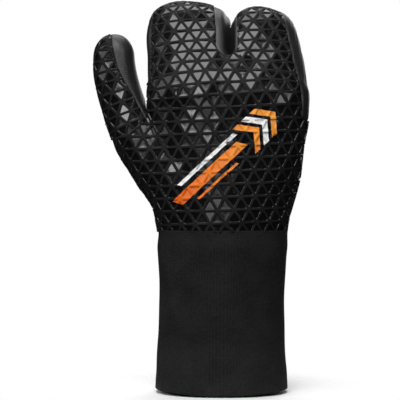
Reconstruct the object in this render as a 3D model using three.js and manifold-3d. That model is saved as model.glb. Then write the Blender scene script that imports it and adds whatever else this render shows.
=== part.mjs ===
// A right-hand lobster mitt of thick neoprene: a thumb, one compartment for the index and middle fingers,
// one for the ring and little fingers, and a long smooth cuff. It is shown filled out, as it is worn.
// Millimetres. The origin is the middle of the cuff's open rim, +Z runs up to the fingers, +X to the little
// finger's side, and the back of the hand faces -Y, so the fingers curl towards +Y.
import * as THREE from "three";
import { mergeVertices } from "three/addons/utils/BufferGeometryUtils.js";
import Module from "manifold-3d";

// Neoprene and seams
const WALL = 4; // embossed hand panels
const CUFF_WALL = 2.5;
const SEAM_GAP = 0.3; // clearance between two panels at their glued seam

// Cuff and wrist
const CUFF_LENGTH = 110;
const CUFF_RIM_WIDTH = 92;
const CUFF_WAIST_WIDTH = 87;
const WRIST_WIDTH = 92; // at the seam between cuff and hand
const WRIST_DEPTH = 58;
const WAIST_DEPTH = 56;
const CUFF_RIM_DEPTH = 60;

// Hand
const PALM_WIDTH = 112;
const KNUCKLE_DEPTH = 35;
const PALM_SHIFT = 4.5; // the palm's middle lies this far to the little finger's side
const WEB_HEIGHT = 121; // cuff seam to the web between the two compartments, along the curl
const FINGER_GAP = 1; // narrowest space between the compartments
const GAP_SHIFT = 4.5; // the gap's foot lies this far to the little finger's side
const GAP_LEAN = 3.8; // and the gap leans this much further, up to the joint bend

// Finger compartments
const INDEX_MIDDLE_LENGTH = 196; // cuff seam to fingertip, along the curl
const RING_LITTLE_LENGTH = 186;
const FINGER_DEPTH = 29;

// Curl of the hand, seen from the side: lengths along its mid-plane and the turns of its two bends
const BACK_STRAIGHT = 88;
const KNUCKLE_BEND_LENGTH = 15;
const KNUCKLE_BEND = THREE.MathUtils.degToRad(27);
const FINGER_STRAIGHT = 43;
const JOINT_CREASE = 3.6; // radius of the palm side's crease at the joint bend
const JOINT_BEND = THREE.MathUtils.degToRad(60);
const KNUCKLE_SLANT = 0.07; // the knuckle line drops by this share of the way to the little finger

// Thumb
const THUMB_WIDTH = 30.8;
const THUMB_DEPTH = 29;
const THUMB_OUT = 75; // thumb tip to the hand's axis
const THUMB_TOP = 139; // thumb tip above the cuff's seam
const THUMB_ROOT = 23; // the thumb's axis starts this far above the seam, inside the palm
const THUMB_FORWARD = 15; // thumb tip in front of the palm's mid-plane
const CROTCH_HEIGHT = 79; // from the cuff's seam to where the thumb's base seam meets the hand's side
const CROTCH_SPREAD = 5; // how far the thumb's side of the crotch leans out, up to the thumb's tip

// Smooth strips between the embossed panels
const GAP_STRIP_WIDTH = 14.5; // across both sides of the gap, seen from the back
const GAP_STRIP_SHIFT = 0.8; // the gap's middle to the strip's middle, towards the index finger
const INDEX_STRIP = 3; // seen from the back, in from the mitt's edge
const LITTLE_STRIP = 9;

// Fineness of the skins
const SIDES = 20;
const DOME_STEPS = 4;
const FAR = 2 * (CUFF_LENGTH + INDEX_MIDDLE_LENGTH); // longer than the mitt in any direction
const BLOCK_END = Math.max(INDEX_MIDDLE_LENGTH, RING_LITTLE_LENGTH) + 2 * WALL; // past both fingertips

const wasm = await Module();
wasm.setup();

function solidFromGeometry(geometry) {
  const bare = geometry.index ? geometry.toNonIndexed() : geometry.clone();
  bare.deleteAttribute("normal");
  bare.deleteAttribute("uv");
  const merged = mergeVertices(bare, 1e-4);
  return new wasm.Manifold(
    new wasm.Mesh({
      numProp: 3,
      vertProperties: new Float32Array(merged.attributes.position.array),
      triVerts: new Uint32Array(merged.index.array),
    }),
  );
}

function geometryFromSolid(solid) {
  const mesh = solid.getMesh();
  return new THREE.BufferGeometry()
    .setAttribute("position", new THREE.BufferAttribute(mesh.vertProperties, mesh.numProp))
    .setIndex(new THREE.BufferAttribute(mesh.triVerts, 1));
}

// The value of one column of a table at a place along it, on a smooth curve through the rows.
function column(rows, name, along) {
  const last = rows.length - 1;
  let i = 0;
  while (i < last - 1 && along > rows[i + 1].along) i += 1;
  const value = (k) => rows[THREE.MathUtils.clamp(k, 0, last)][name];
  const share = (along - rows[i].along) / (rows[i + 1].along - rows[i].along);
  const t = THREE.MathUtils.clamp(share, 0, 1);
  const slopeIn = (value(i + 1) - value(i - 1)) / 2;
  const slopeOut = (value(i + 2) - value(i)) / 2;
  const rise = value(i + 1) - value(i);
  return value(i) + t * (slopeIn + t * (3 * rise - 2 * slopeIn - slopeOut + t * (slopeIn + slopeOut - 2 * rise)));
}

// A point of a superellipse; square is 2 for an ellipse and more for squarer corners.
function superellipse(halfWidth, halfDepth, square, turn) {
  const power = (v) => Math.sign(v) * Math.abs(v) ** (2 / square);
  return [halfWidth * power(Math.cos(turn)), halfDepth * power(Math.sin(turn))];
}

// A closed solid through rings of as many points each, turning left as seen from the last ring.
function loft(rings) {
  const count = rings[0].length;
  const points = rings.flat();
  const middleOf = (ring) => ring.reduce((sum, p) => sum.add(p), new THREE.Vector3()).divideScalar(count);
  const bottom = points.push(middleOf(rings[0])) - 1;
  const top = points.push(middleOf(rings.at(-1))) - 1;
  const faces = [];
  for (let k = 0; k < count; k += 1) {
    const next = (k + 1) % count;
    for (let low = 0; low < (rings.length - 1) * count; low += count) {
      faces.push(low + k, low + next, low + count + next, low + k, low + count + next, low + count + k);
    }
    faces.push(bottom, next, k);
    faces.push(top, bottom - count + k, bottom - count + next);
  }
  const geometry = new THREE.BufferGeometry()
    .setAttribute("position", new THREE.Float32BufferAttribute(points.flatMap((p) => p.toArray()), 3))
    .setIndex(faces);
  return solidFromGeometry(geometry);
}

// The skin of a limb, with a domed tip. The limb's section() gives the middle, width and depth at a length
// along it, and its place() puts a point of a section in space. inset draws the skin inwards.
function limbSkin(limb, inset) {
  const end = limb.end - inset;
  const dome = Math.max(limb.dome - inset, 1);
  const stations = [];
  for (let i = 0; i <= limb.steps; i += 1) {
    stations.push({ along: THREE.MathUtils.lerp(limb.start, end - dome, i / limb.steps), scale: 1 });
  }
  for (let i = 1; i <= DOME_STEPS; i += 1) {
    const turn = ((i / (DOME_STEPS + 0.3)) * Math.PI) / 2;
    stations.push({ along: end - dome + dome * Math.sin(turn), scale: Math.cos(turn) ** (2 / limb.domeSquare) });
  }
  const rings = stations.map(({ along, scale }) => {
    const { middle, width, depth, square } = limb.section(along);
    const halfWidth = (width / 2 - inset) * scale;
    const halfDepth = (depth / 2 - inset) * scale;
    const ring = [];
    for (let k = 0; k < SIDES; k += 1) {
      const [across, through] = superellipse(halfWidth, halfDepth, square, (k / SIDES) * 2 * Math.PI);
      ring.push(limb.place(middle + across, through, along));
    }
    return ring;
  });
  return loft(rings);
}

// The curl: where a length along the hand lies, seen from the side, and how far it leans towards the palm.
const JOINT_RADIUS = FINGER_DEPTH / 2 + JOINT_CREASE;
const CURL = [
  { length: BACK_STRAIGHT, turn: 0 },
  { length: KNUCKLE_BEND_LENGTH, turn: KNUCKLE_BEND },
  { length: FINGER_STRAIGHT, turn: 0 },
  { length: JOINT_RADIUS * JOINT_BEND, turn: JOINT_BEND },
  { length: FAR, turn: 0 },
];
const JOINT_HEIGHT = BACK_STRAIGHT + KNUCKLE_BEND_LENGTH + FINGER_STRAIGHT; // cuff seam to the joint bend
function curlAt(along) {
  let y = 0;
  let z = CUFF_LENGTH + Math.min(along, 0);
  let lean = 0;
  let rest = Math.max(along, 0);
  for (const { length, turn } of CURL) {
    const part = Math.min(rest, length);
    const bend = (turn * part) / length;
    if (bend > 0) {
      const radius = length / turn;
      y += radius * (Math.cos(lean) - Math.cos(lean + bend));
      z += radius * (Math.sin(lean + bend) - Math.sin(lean));
    } else {
      y += part * Math.sin(lean);
      z += part * Math.cos(lean);
    }
    lean += bend;
    rest -= part;
  }
  return { y, z, lean };
}

// A point of the hand, drawn straight, is put on the curl. The knuckle line is slanted, so the little
// finger's side bends lower down.
function placeOnHand(across, through, along) {
  const drop = KNUCKLE_SLANT * across;
  const { y, z, lean } = curlAt(along + drop);
  return new THREE.Vector3(across, y + through * Math.cos(lean), z - drop - through * Math.sin(lean));
}

// Palm: from the wrist's size to the palm's, as shares of the way between them. It ends in the web.
const PALM_ROWS = [
  { along: 0.0, widen: 0.0, thin: 0.0, square: 2.2 },
  { along: 0.17, widen: 0.31, thin: 0.18, square: 2.3 },
  { along: 0.34, widen: 0.64, thin: 0.4, square: 2.4 },
  { along: 0.51, widen: 0.86, thin: 0.63, square: 2.5 },
  { along: 0.68, widen: 1.0, thin: 0.88, square: 2.5 },
  { along: 0.84, widen: 0.9, thin: 1.09, square: 2.4 },
  { along: 1.0, widen: 0.1, thin: 1.3, square: 2.2 },
];
const palm = {
  start: 0,
  end: WEB_HEIGHT,
  dome: 9,
  domeSquare: 2.6,
  steps: 8,
  place: placeOnHand,
  section(along) {
    const share = along / WEB_HEIGHT;
    const widen = column(PALM_ROWS, "widen", share);
    return {
      middle: PALM_SHIFT * Math.min(widen, 1),
      width: THREE.MathUtils.lerp(WRIST_WIDTH, PALM_WIDTH, widen),
      depth: THREE.MathUtils.lerp(WRIST_DEPTH, KNUCKLE_DEPTH, column(PALM_ROWS, "thin", share)),
      square: column(PALM_ROWS, "square", share),
    };
  },
};

// Finger compartments: the outer edge as a share of half the palm's width, how far the inner edge draws back
// from the gap as a share of the palm's width, and the depth as a share of FINGER_DEPTH.
const INDEX_MIDDLE_ROWS = [
  { along: 0.43, outer: 0.96, back: 0.0, depth: 1.18 },
  { along: 0.54, outer: 0.99, back: 0.0, depth: 1.1 },
  { along: 0.63, outer: 1.0, back: 0.0, depth: 1.02 },
  { along: 0.73, outer: 1.018, back: 0.0, depth: 0.97 },
  { along: 0.82, outer: 0.97, back: 0.0, depth: 0.94 },
  { along: 0.91, outer: 0.9, back: 0.006, depth: 0.9 },
  { along: 1.0, outer: 0.83, back: 0.02, depth: 0.86 },
];
const RING_LITTLE_ROWS = [
  { along: 0.43, outer: 0.96, back: 0.0, depth: 1.14 },
  { along: 0.54, outer: 0.99, back: 0.0, depth: 1.06 },
  { along: 0.63, outer: 0.97, back: 0.0, depth: 0.98 },
  { along: 0.73, outer: 0.925, back: 0.0, depth: 0.94 },
  { along: 0.82, outer: 0.86, back: 0.0, depth: 0.91 },
  { along: 0.91, outer: 0.8, back: 0.012, depth: 0.87 },
  { along: 1.0, outer: 0.74, back: 0.03, depth: 0.83 },
];
function outerEdge(rows, side, share) {
  return PALM_SHIFT + (side * column(rows, "outer", share) * PALM_WIDTH) / 2;
}
function gapMiddle(along) {
  return GAP_SHIFT + GAP_LEAN * THREE.MathUtils.smoothstep(along, WEB_HEIGHT, JOINT_HEIGHT);
}
function innerEdge(rows, side, share, along) {
  return gapMiddle(along) + side * (FINGER_GAP / 2 + column(rows, "back", share) * PALM_WIDTH);
}
function compartment(rows, length, side) {
  return {
    start: rows[0].along * length,
    end: length,
    dome: FINGER_DEPTH * 0.62,
    domeSquare: 2.5,
    steps: 10,
    place: placeOnHand,
    section(along) {
      const share = along / length;
      const outer = outerEdge(rows, side, share);
      const inner = innerEdge(rows, side, share, along);
      return {
        middle: (outer + inner) / 2,
        width: Math.abs(outer - inner),
        depth: FINGER_DEPTH * column(rows, "depth", share),
        square: 2.4,
      };
    },
  };
}
const indexMiddle = compartment(INDEX_MIDDLE_ROWS, INDEX_MIDDLE_LENGTH, -1);
const ringLittle = compartment(RING_LITTLE_ROWS, RING_LITTLE_LENGTH, 1);

// Thumb: its axis from inside the palm to the tip, as shares of how far out, up and forward the tip lies,
// its size as shares of the thumb's width and depth, and the smooth strip's edge as a share of its width.
const THUMB_ROWS = [
  { along: 0.0, out: 0.387, up: 0.0, forward: 0.0, width: 1.24, depth: 1.3, strip: 0.4 },
  { along: 0.2, out: 0.585, up: 0.178, forward: 0.2, width: 1.18, depth: 1.26, strip: 0.4 },
  { along: 0.4, out: 0.772, up: 0.361, forward: 0.42, width: 1.12, depth: 1.18, strip: 0.4 },
  { along: 0.6, out: 0.9, up: 0.564, forward: 0.65, width: 1.04, depth: 1.08, strip: 0.3 },
  { along: 0.8, out: 0.984, up: 0.779, forward: 0.85, width: 1.0, depth: 1.0, strip: 0.08 },
  { along: 1.0, out: 0.984, up: 1.0, forward: 1.0, width: 0.9, depth: 0.86, strip: -0.1 },
];
const thumbAxis = new THREE.CatmullRomCurve3(
  THUMB_ROWS.map(
    ({ out, up, forward }) =>
      new THREE.Vector3(
        -THUMB_OUT * out,
        THUMB_FORWARD * forward,
        CUFF_LENGTH + THREE.MathUtils.lerp(THUMB_ROOT, THUMB_TOP, up),
      ),
  ),
);
const thumbLength = thumbAxis.getLength();
function placeOnThumb(across, through, along) {
  const share = THREE.MathUtils.clamp(along / thumbLength, 0, 1);
  const tangent = thumbAxis.getTangentAt(share);
  const side = new THREE.Vector3(tangent.z, 0, -tangent.x).normalize();
  const front = tangent.clone().cross(side);
  const past = along - share * thumbLength;
  return thumbAxis
    .getPointAt(share)
    .addScaledVector(side, across)
    .addScaledVector(front, through)
    .addScaledVector(tangent, past);
}
const thumb = {
  start: 0,
  end: thumbLength,
  dome: THUMB_WIDTH * 0.5,
  domeSquare: 2.15,
  steps: 9,
  place: placeOnThumb,
  section(along) {
    const share = along / thumbLength;
    return {
      middle: 0,
      width: THUMB_WIDTH * column(THUMB_ROWS, "width", share),
      depth: THUMB_DEPTH * column(THUMB_ROWS, "depth", share),
      square: 2.15,
    };
  },
};

// A block that holds all of a limb between two edges, which are given by their place across and through it.
// early starts the block that much sooner.
function block(place, start, end, steps, early, edges) {
  const rings = [];
  for (let i = 0; i <= steps; i += 1) {
    const along = THREE.MathUtils.lerp(start, end, i / steps);
    const { left, right, back, front } = edges(along);
    const at = i === 0 ? along - early : along;
    rings.push([place(right, back, at), place(right, front, at), place(left, front, at), place(left, back, at)]);
  }
  return loft(rings);
}
const THROUGH = FINGER_DEPTH / 2 + 0.75 * JOINT_CREASE; // half the depth of the blocks that cut the strips
const BESIDE = 0.8 * PALM_WIDTH; // past the hand's side

// The half of the hand on its back's side. The seam lies on the mid-plane and, past the joint bend, slips
// round to the palm's side of the fingertips. inset draws the block back from the seam.
function backHalf(inset) {
  return block(placeOnHand, -WALL, BLOCK_END, 24, 0, (along) => {
    const slip = THREE.MathUtils.smoothstep(along, JOINT_HEIGHT, INDEX_MIDDLE_LENGTH);
    return { left: -BESIDE, right: BESIDE, back: -1.3 * KNUCKLE_DEPTH, front: slip * 0.3 * FINGER_DEPTH - inset };
  });
}

// Strips: grow widens the block, to leave the seam's clearance round the strip. A side strip turns in over
// the fingertip, by turned times the compartment's width.
function turned(along, length) {
  return 0.3 * THREE.MathUtils.smoothstep(along, length - FINGER_DEPTH, length);
}
function gapBlock(grow) {
  const foot = WEB_HEIGHT - GAP_STRIP_WIDTH * 0.3;
  return block(placeOnHand, foot, BLOCK_END, 20, grow, (along) => {
    const opened = THREE.MathUtils.clamp((along - foot) / (GAP_STRIP_WIDTH * 0.6), 0, 1);
    const back = PALM_WIDTH * column(INDEX_MIDDLE_ROWS, "back", along / INDEX_MIDDLE_LENGTH);
    const half = (GAP_STRIP_WIDTH / 2) * (0.4 + 0.6 * Math.sqrt(opened)) + back + grow;
    const middle = gapMiddle(along) - GAP_STRIP_SHIFT;
    return { left: middle - half, right: middle + half, back: -THROUGH, front: THROUGH };
  });
}
function indexBlock(grow) {
  const foot = BACK_STRAIGHT + KNUCKLE_BEND_LENGTH;
  return block(placeOnHand, foot, BLOCK_END, 20, grow, (along) => {
    const opened = THREE.MathUtils.smoothstep(along, foot - KNUCKLE_BEND_LENGTH, foot + KNUCKLE_BEND_LENGTH);
    const edge =
      outerEdge(INDEX_MIDDLE_ROWS, -1, along / INDEX_MIDDLE_LENGTH) +
      (turned(along, INDEX_MIDDLE_LENGTH) * PALM_WIDTH) / 2;
    return { left: -BESIDE, right: edge + INDEX_STRIP * opened + grow, back: -THROUGH, front: THROUGH };
  });
}
function littleBlock(grow) {
  const foot = BACK_STRAIGHT * 0.88;
  return block(placeOnHand, foot, BLOCK_END, 20, grow, (along) => {
    const opened = THREE.MathUtils.smoothstep(along, foot - KNUCKLE_BEND_LENGTH, WEB_HEIGHT);
    const edge =
      outerEdge(RING_LITTLE_ROWS, 1, along / RING_LITTLE_LENGTH) -
      (turned(along, RING_LITTLE_LENGTH) * PALM_WIDTH) / 3;
    return { left: edge - LITTLE_STRIP * opened - grow, right: BESIDE, back: -THROUGH, front: THROUGH };
  });
}

// Everything of the thumb past its base seam, which is square to the thumb and starts in the crotch.
function thumbBlock(grow) {
  const crotch = PALM_SHIFT - PALM_WIDTH / 2 - 0.5 + grow;
  const low = CUFF_LENGTH + CROTCH_HEIGHT - grow;
  const slope = 0.36;
  const outline = new THREE.Shape([
    new THREE.Vector2(crotch, low),
    new THREE.Vector2(crotch - CROTCH_SPREAD, CUFF_LENGTH + THUMB_TOP),
    new THREE.Vector2(crotch - CROTCH_SPREAD, FAR),
    new THREE.Vector2(-FAR, FAR),
    new THREE.Vector2(-FAR, low - slope * (crotch + FAR)),
  ]);
  const plate = new THREE.ExtrudeGeometry(outline, { depth: 2 * FAR, bevelEnabled: false });
  plate.translate(0, 0, -FAR).rotateX(Math.PI / 2);
  return solidFromGeometry(plate);
}
// The side of the thumb that is embossed; grow widens it.
function thumbOutside(grow) {
  return block(placeOnThumb, 0, thumbLength + THUMB_WIDTH, 16, 0, (along) => {
    const edge = THUMB_WIDTH * column(THUMB_ROWS, "strip", along / thumbLength);
    return { left: -1.5 * THUMB_WIDTH, right: edge + grow, back: -THUMB_WIDTH, front: THUMB_WIDTH };
  });
}

// The cuff's rows are shares of its height, with how far each width lies from the waist's to the full one.
const CUFF_ROWS = [
  { up: 0.0, from: CUFF_RIM_WIDTH, share: 1.0, depth: CUFF_RIM_DEPTH },
  { up: 0.2, from: CUFF_RIM_WIDTH, share: 0.55, depth: (CUFF_RIM_DEPTH + WAIST_DEPTH) / 2 },
  { up: 0.4, from: CUFF_RIM_WIDTH, share: 0.12, depth: WAIST_DEPTH },
  { up: 0.62, from: CUFF_RIM_WIDTH, share: 0.0, depth: WAIST_DEPTH },
  { up: 0.82, from: WRIST_WIDTH, share: 0.4, depth: (WRIST_DEPTH + WAIST_DEPTH) / 2 },
  { up: 1.0, from: WRIST_WIDTH, share: 1.0, depth: WRIST_DEPTH },
];
// The cuff's skin from its rim to the wrist; over lengthens it at both ends.
function cuffSkin(inset, over) {
  const top = CUFF_LENGTH - SEAM_GAP;
  const rings = CUFF_ROWS.map(({ up, from, share, depth }) => {
    const width = THREE.MathUtils.lerp(CUFF_WAIST_WIDTH, from, share);
    const z = THREE.MathUtils.lerp(-over, top + over, up);
    const ring = [];
    for (let k = 0; k < SIDES; k += 1) {
      const [x, y] = superellipse(width / 2 - inset, depth / 2 - inset, 2.2, (k / SIDES) * 2 * Math.PI);
      ring.push(new THREE.Vector3(x, y, z));
    }
    return ring;
  });
  return loft(rings);
}

const embossedRubber = new THREE.MeshStandardMaterial({ color: 0x151516, roughness: 0.35, metalness: 0 });
const smoothRubber = new THREE.MeshStandardMaterial({ color: 0x171718, roughness: 0.5, metalness: 0 });
const jersey = new THREE.MeshStandardMaterial({ color: 0x1f1f20, roughness: 0.9, metalness: 0 });

const mitt = new THREE.Group();
function piece(name, solid, material) {
  const mesh = new THREE.Mesh(geometryFromSolid(solid), material);
  mesh.name = name;
  mitt.add(mesh);
}

// The whole hand: outer skin less inner skin, cut off square at the wrist.
const limbs = [palm, indexMiddle, ringLittle, thumb];
const union = (solids) => solids.reduce((a, b) => a.add(b));
const outside = union(limbs.map((limb) => limbSkin(limb, 0)));
const inside = union(limbs.map((limb) => limbSkin(limb, WALL)));
const mouth = limbSkin({ ...palm, start: -WALL, end: BACK_STRAIGHT / 2 }, WALL);
const hand = outside.subtract(inside).subtract(mouth);

const index = hand.subtract(thumbBlock(SEAM_GAP)).intersect(indexBlock(0));
const panels = hand
  .subtract(thumbBlock(SEAM_GAP))
  .subtract(gapBlock(SEAM_GAP))
  .subtract(indexBlock(SEAM_GAP))
  .subtract(littleBlock(SEAM_GAP));
piece("back_panel", panels.intersect(backHalf(SEAM_GAP)), embossedRubber);
piece("palm_panel", panels.subtract(backHalf(0)), embossedRubber);
piece("gap_strip", hand.intersect(gapBlock(0)), smoothRubber);
piece("index_side_strip", index, smoothRubber);
piece("little_side_strip", hand.intersect(littleBlock(0)), smoothRubber);
piece("thumb_panel", hand.intersect(thumbBlock(0)).intersect(thumbOutside(0)), embossedRubber);
piece("thumb_strip", hand.intersect(thumbBlock(0)).subtract(thumbOutside(SEAM_GAP)), smoothRubber);
piece("cuff", cuffSkin(0, 0).subtract(cuffSkin(CUFF_WALL, CUFF_WALL)), jersey);

export default mitt;
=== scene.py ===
"""Neoprene lobster mitt: embossed rubber-coated panels, smooth rubber strips between them and a jersey cuff.

Every skin is a table of rows, drawn straight from the hand's sections and put on its curl. The embossed
lattice is made flat by Geometry Nodes, trimmed to its panel and laid on the skin by lengths along it.
Form and layout are in millimetres; Blender's meshes are in metres, in the frame of the solids.
"""

import math
from functools import lru_cache, partial

import bpy
import numpy as np
from bpy.props import FloatProperty, FloatVectorProperty, PointerProperty
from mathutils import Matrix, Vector


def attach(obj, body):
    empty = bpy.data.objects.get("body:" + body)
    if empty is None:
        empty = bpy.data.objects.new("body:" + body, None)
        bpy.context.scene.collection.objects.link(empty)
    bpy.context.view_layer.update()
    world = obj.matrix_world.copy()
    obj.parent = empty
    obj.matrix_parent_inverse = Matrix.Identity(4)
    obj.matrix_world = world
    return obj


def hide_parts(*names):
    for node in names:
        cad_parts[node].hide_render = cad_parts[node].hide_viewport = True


bl_info = {
    "name": "Neoprene lobster mitt",
    "version": (1, 0, 0),
    "blender": (4, 5, 0),
    "location": "View3D > Sidebar > Mitt",
    "description": "Builds an embossed neoprene lobster mitt around its solids",
    "category": "Add Mesh",
}

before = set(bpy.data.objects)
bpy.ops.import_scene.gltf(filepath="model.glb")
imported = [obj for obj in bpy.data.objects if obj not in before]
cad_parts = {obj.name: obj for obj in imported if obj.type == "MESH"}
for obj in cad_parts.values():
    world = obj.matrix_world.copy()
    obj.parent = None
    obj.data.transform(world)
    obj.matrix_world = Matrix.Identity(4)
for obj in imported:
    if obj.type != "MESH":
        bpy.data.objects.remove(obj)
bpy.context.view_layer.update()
MM = 0.001

# Sizes of the form: the solids', with the web and the thumb about a millimetre further out, as in the photo
CUFF_WALL = 2.5
CUFF_LENGTH = 110.0
CUFF_RIM_WIDTH = 92.0
CUFF_WAIST_WIDTH = 87.0
WRIST_WIDTH = 92.0
WRIST_DEPTH = 58.0
WAIST_DEPTH = 56.0
CUFF_RIM_DEPTH = 60.0
PALM_WIDTH = 112.0
KNUCKLE_DEPTH = 35.0
PALM_SHIFT = 4.5
WEB_HEIGHT = 122.5
FINGER_GAP = 1.0
GAP_SHIFT = 4.5
GAP_LEAN_AT_WEB = 1.6
GAP_LEAN_AT_TIPS = 2.2
INDEX_MIDDLE_LENGTH = 196.0
RING_LITTLE_LENGTH = 186.0
FINGER_DEPTH = 29.0
BACK_STRAIGHT = 88.0
KNUCKLE_BEND_LENGTH = 15.0
KNUCKLE_BEND = math.radians(27)
FINGER_STRAIGHT = 43.0
JOINT_CREASE = 3.6
JOINT_BEND = math.radians(60)
JOINT_RADIUS = FINGER_DEPTH / 2 + JOINT_CREASE
JOINT_HEIGHT = BACK_STRAIGHT + KNUCKLE_BEND_LENGTH + FINGER_STRAIGHT
KNUCKLE_SLANT = 0.07
THUMB_WIDTH = 30.8
THUMB_DEPTH = 29.0
THUMB_OUT = 76.2
THUMB_TOP = 139.8
THUMB_ROOT = 23.0
THUMB_FORWARD = 15.0
CROTCH_HEIGHT = 79.0
CROTCH_SPREAD = 5.0
GAP_STRIP_WIDTH = 14.5
INDEX_STRIP = 3.0
LITTLE_STRIP = 9.0
HOLLOW_MIDDLE = 6.1  # the hollow in the gap, between the rolled rims of its strip
HOLLOW_HALF_WIDTH = 4.3
HOLLOW_FOOT_RADIUS = 5.0
HOLLOW_DEPTH = 2.6
STRIP_MIDDLE = 3.7  # the U of the gap's strip, round that hollow
STRIP_FOOT_RADIUS = 9.5
FINGER_TILT = 0.07  # how much higher the compartments' outer sides stand, below the joints
CUFF_SHIFT = 0.9  # how far the wrist lies off the cuff's middle
CUFF_TUCK = 1.1  # how far the cuff runs in under the panels
HEM_LIFT = 1.6  # how much higher the hem is at its sides

FINGER_DOME = FINGER_DEPTH * 0.62  # lengths over which the limbs round off to their ends
THUMB_DOME = THUMB_WIDTH * 0.5
WEB_DOME = 9.0
THUMB_START = 14.0
FINGER_LEAD = 4.0  # how far before its first row, and how deep in the palm, a compartment starts
ROOT_BLENDS = 12.0, 2.2  # how softly the thumb's root runs into the palm, low down and at the crotch
ROW_STEP = 0.5

# Between which lengths along the hand the sections change over the joints
SQUARE_ZONE = 140.0, 165.0
TILT_ZONE = 138.0, 160.0
HOLLOW_ZONE = 138.0, 166.0

# Powers of the sections' superellipses, and how much rounder those of the filled-out neoprene are
FINGER_SQUARE = 2.4
FINGER_SQUARE_AT_GAP = 3.4
THUMB_SQUARE = 2.15
CUFF_SQUARE = 2.2
TIP_SQUARE = 2.5
WEB_SQUARE = 2.6
ROUNDER = 0.3

# How the pieces meet, in millimetres
SEAM = 0.15  # half the open line between two panels
OVERLAP = 0.8  # how far a strip runs under the panels beside it
SKIRT = 1.8  # how far a panel's cut edge turns in
LINING_INSET = 3.4
BEAD_RADIUS = 0.4
FACET_TILT = 0.03  # how far a facet's plane may lean, as a slope
FACET_SINK = 0.08
FACET_FLOOR = -0.3  # points of the lattice that lie lower belong to a facet's floor
SCRAP_FACES = 160  # loose islands with fewer faces are dropped
HAND_SHEET = (-112.0, -6.0), (80.0, 236.0)  # corners of the lattice that covers a face of the hand, and the thumb
THUMB_SHEET = (-55.0, -5.0), (55.0, 130.0)
EMBOSS_FADE = 1.0, 13.0  # before a fingertip's pole, from the faintest emboss to the full one
PLANE_FADE = 3.0, 14.0

# Tables of the form: the first column is the place along the limb, as a share of it. The columns after it are
# shares of the sizes above, but for the powers, the cuff's sizes and the seam's
PALM_ROWS = np.array([  # widen, thin, square
    (0.0, 0.0, 0.0, 2.2), (0.17, 0.31, 0.18, 2.3), (0.34, 0.64, 0.4, 2.4), (0.51, 0.86, 0.63, 2.5),
    (0.68, 1.0, 0.88, 2.5), (0.84, 0.9, 1.09, 2.4), (1.0, 0.1, 1.3, 2.2)])
INDEX_MIDDLE_ROWS = np.array([  # outer edge, inner edge's draw-back, depth
    (0.43, 0.96, 0.0, 1.18), (0.54, 0.99, 0.0, 1.1), (0.63, 1.0, 0.0, 1.02), (0.73, 1.018, 0.0, 0.97),
    (0.82, 0.97, 0.008, 0.94), (0.91, 0.9, 0.022, 0.9), (1.0, 0.83, 0.04, 0.86)])
RING_LITTLE_ROWS = np.array([
    (0.43, 0.96, 0.0, 1.14), (0.54, 0.99, 0.0, 1.06), (0.63, 0.97, 0.0, 0.98), (0.73, 0.925, 0.0, 0.94),
    (0.82, 0.865, 0.018, 0.91), (0.91, 0.81, 0.045, 0.87), (1.0, 0.75, 0.065, 0.83)])
THUMB_ROWS = np.array([  # out, up, forward, width, depth, strip's edge
    (0.0, 0.387, 0.0, 0.0, 1.24, 1.3, 0.4), (0.2, 0.585, 0.178, 0.2, 1.18, 1.26, 0.4),
    (0.4, 0.772, 0.361, 0.42, 1.12, 1.18, 0.4), (0.6, 0.9, 0.564, 0.65, 1.04, 1.08, 0.3),
    (0.8, 0.984, 0.779, 0.85, 1.0, 1.0, 0.08), (1.0, 0.984, 1.0, 1.0, 0.9, 0.86, -0.1)])
CUFF_ROWS = np.array([  # width, depth
    (0.0, CUFF_RIM_WIDTH, CUFF_RIM_DEPTH), (0.2, 89.75, 58.0), (0.4, 87.6, 56.0),
    (0.62, CUFF_WAIST_WIDTH, WAIST_DEPTH), (0.82, 89.0, 57.0), (1.0, WRIST_WIDTH, WRIST_DEPTH)])
THUMB_SEAM = np.array([  # across, height of the thumb's base seam
    (-100, 172.0), (-80, 174.0), (-70.7, 175.5), (-61.6, 179.5), (-56, 184.5), (-52.5, 189.0), (-40, 196.0)])


# ---- the hand's form ----

def lerp(a, b, t):
    return a + (b - a) * t


def smoothstep(x, low, high):
    t = np.clip((x - low) / (high - low), 0, 1)
    return t * t * (3 - 2 * t)


def column(rows, number, along):
    """The value of a table's column at places along it, on a smooth curve through the rows."""
    along = np.asarray(along, float)
    last = len(rows) - 1
    i = np.searchsorted(rows[1:last, 0], along, side="left")
    t = np.clip((along - rows[i, 0]) / (rows[i + 1, 0] - rows[i, 0]), 0, 1)
    before, here, there, after = (rows[np.clip(i + k, 0, last), number] for k in (-1, 0, 1, 2))
    slope_in, slope_out, rise = (there - before) / 2, (after - here) / 2, there - here
    return here + t * (slope_in + t * (3 * rise - 2 * slope_in - slope_out + t * (slope_in + slope_out - 2 * rise)))


def rounded(wave, square):
    """A cosine or sine bent so that the pair draws a superellipse of that power."""
    return np.sign(wave) * np.abs(wave) ** (2 / square)


def smooth_max(a, b, reach):
    return np.maximum(a, b) + np.maximum(reach - np.abs(a - b), 0) ** 2 / (4 * reach)


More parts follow.
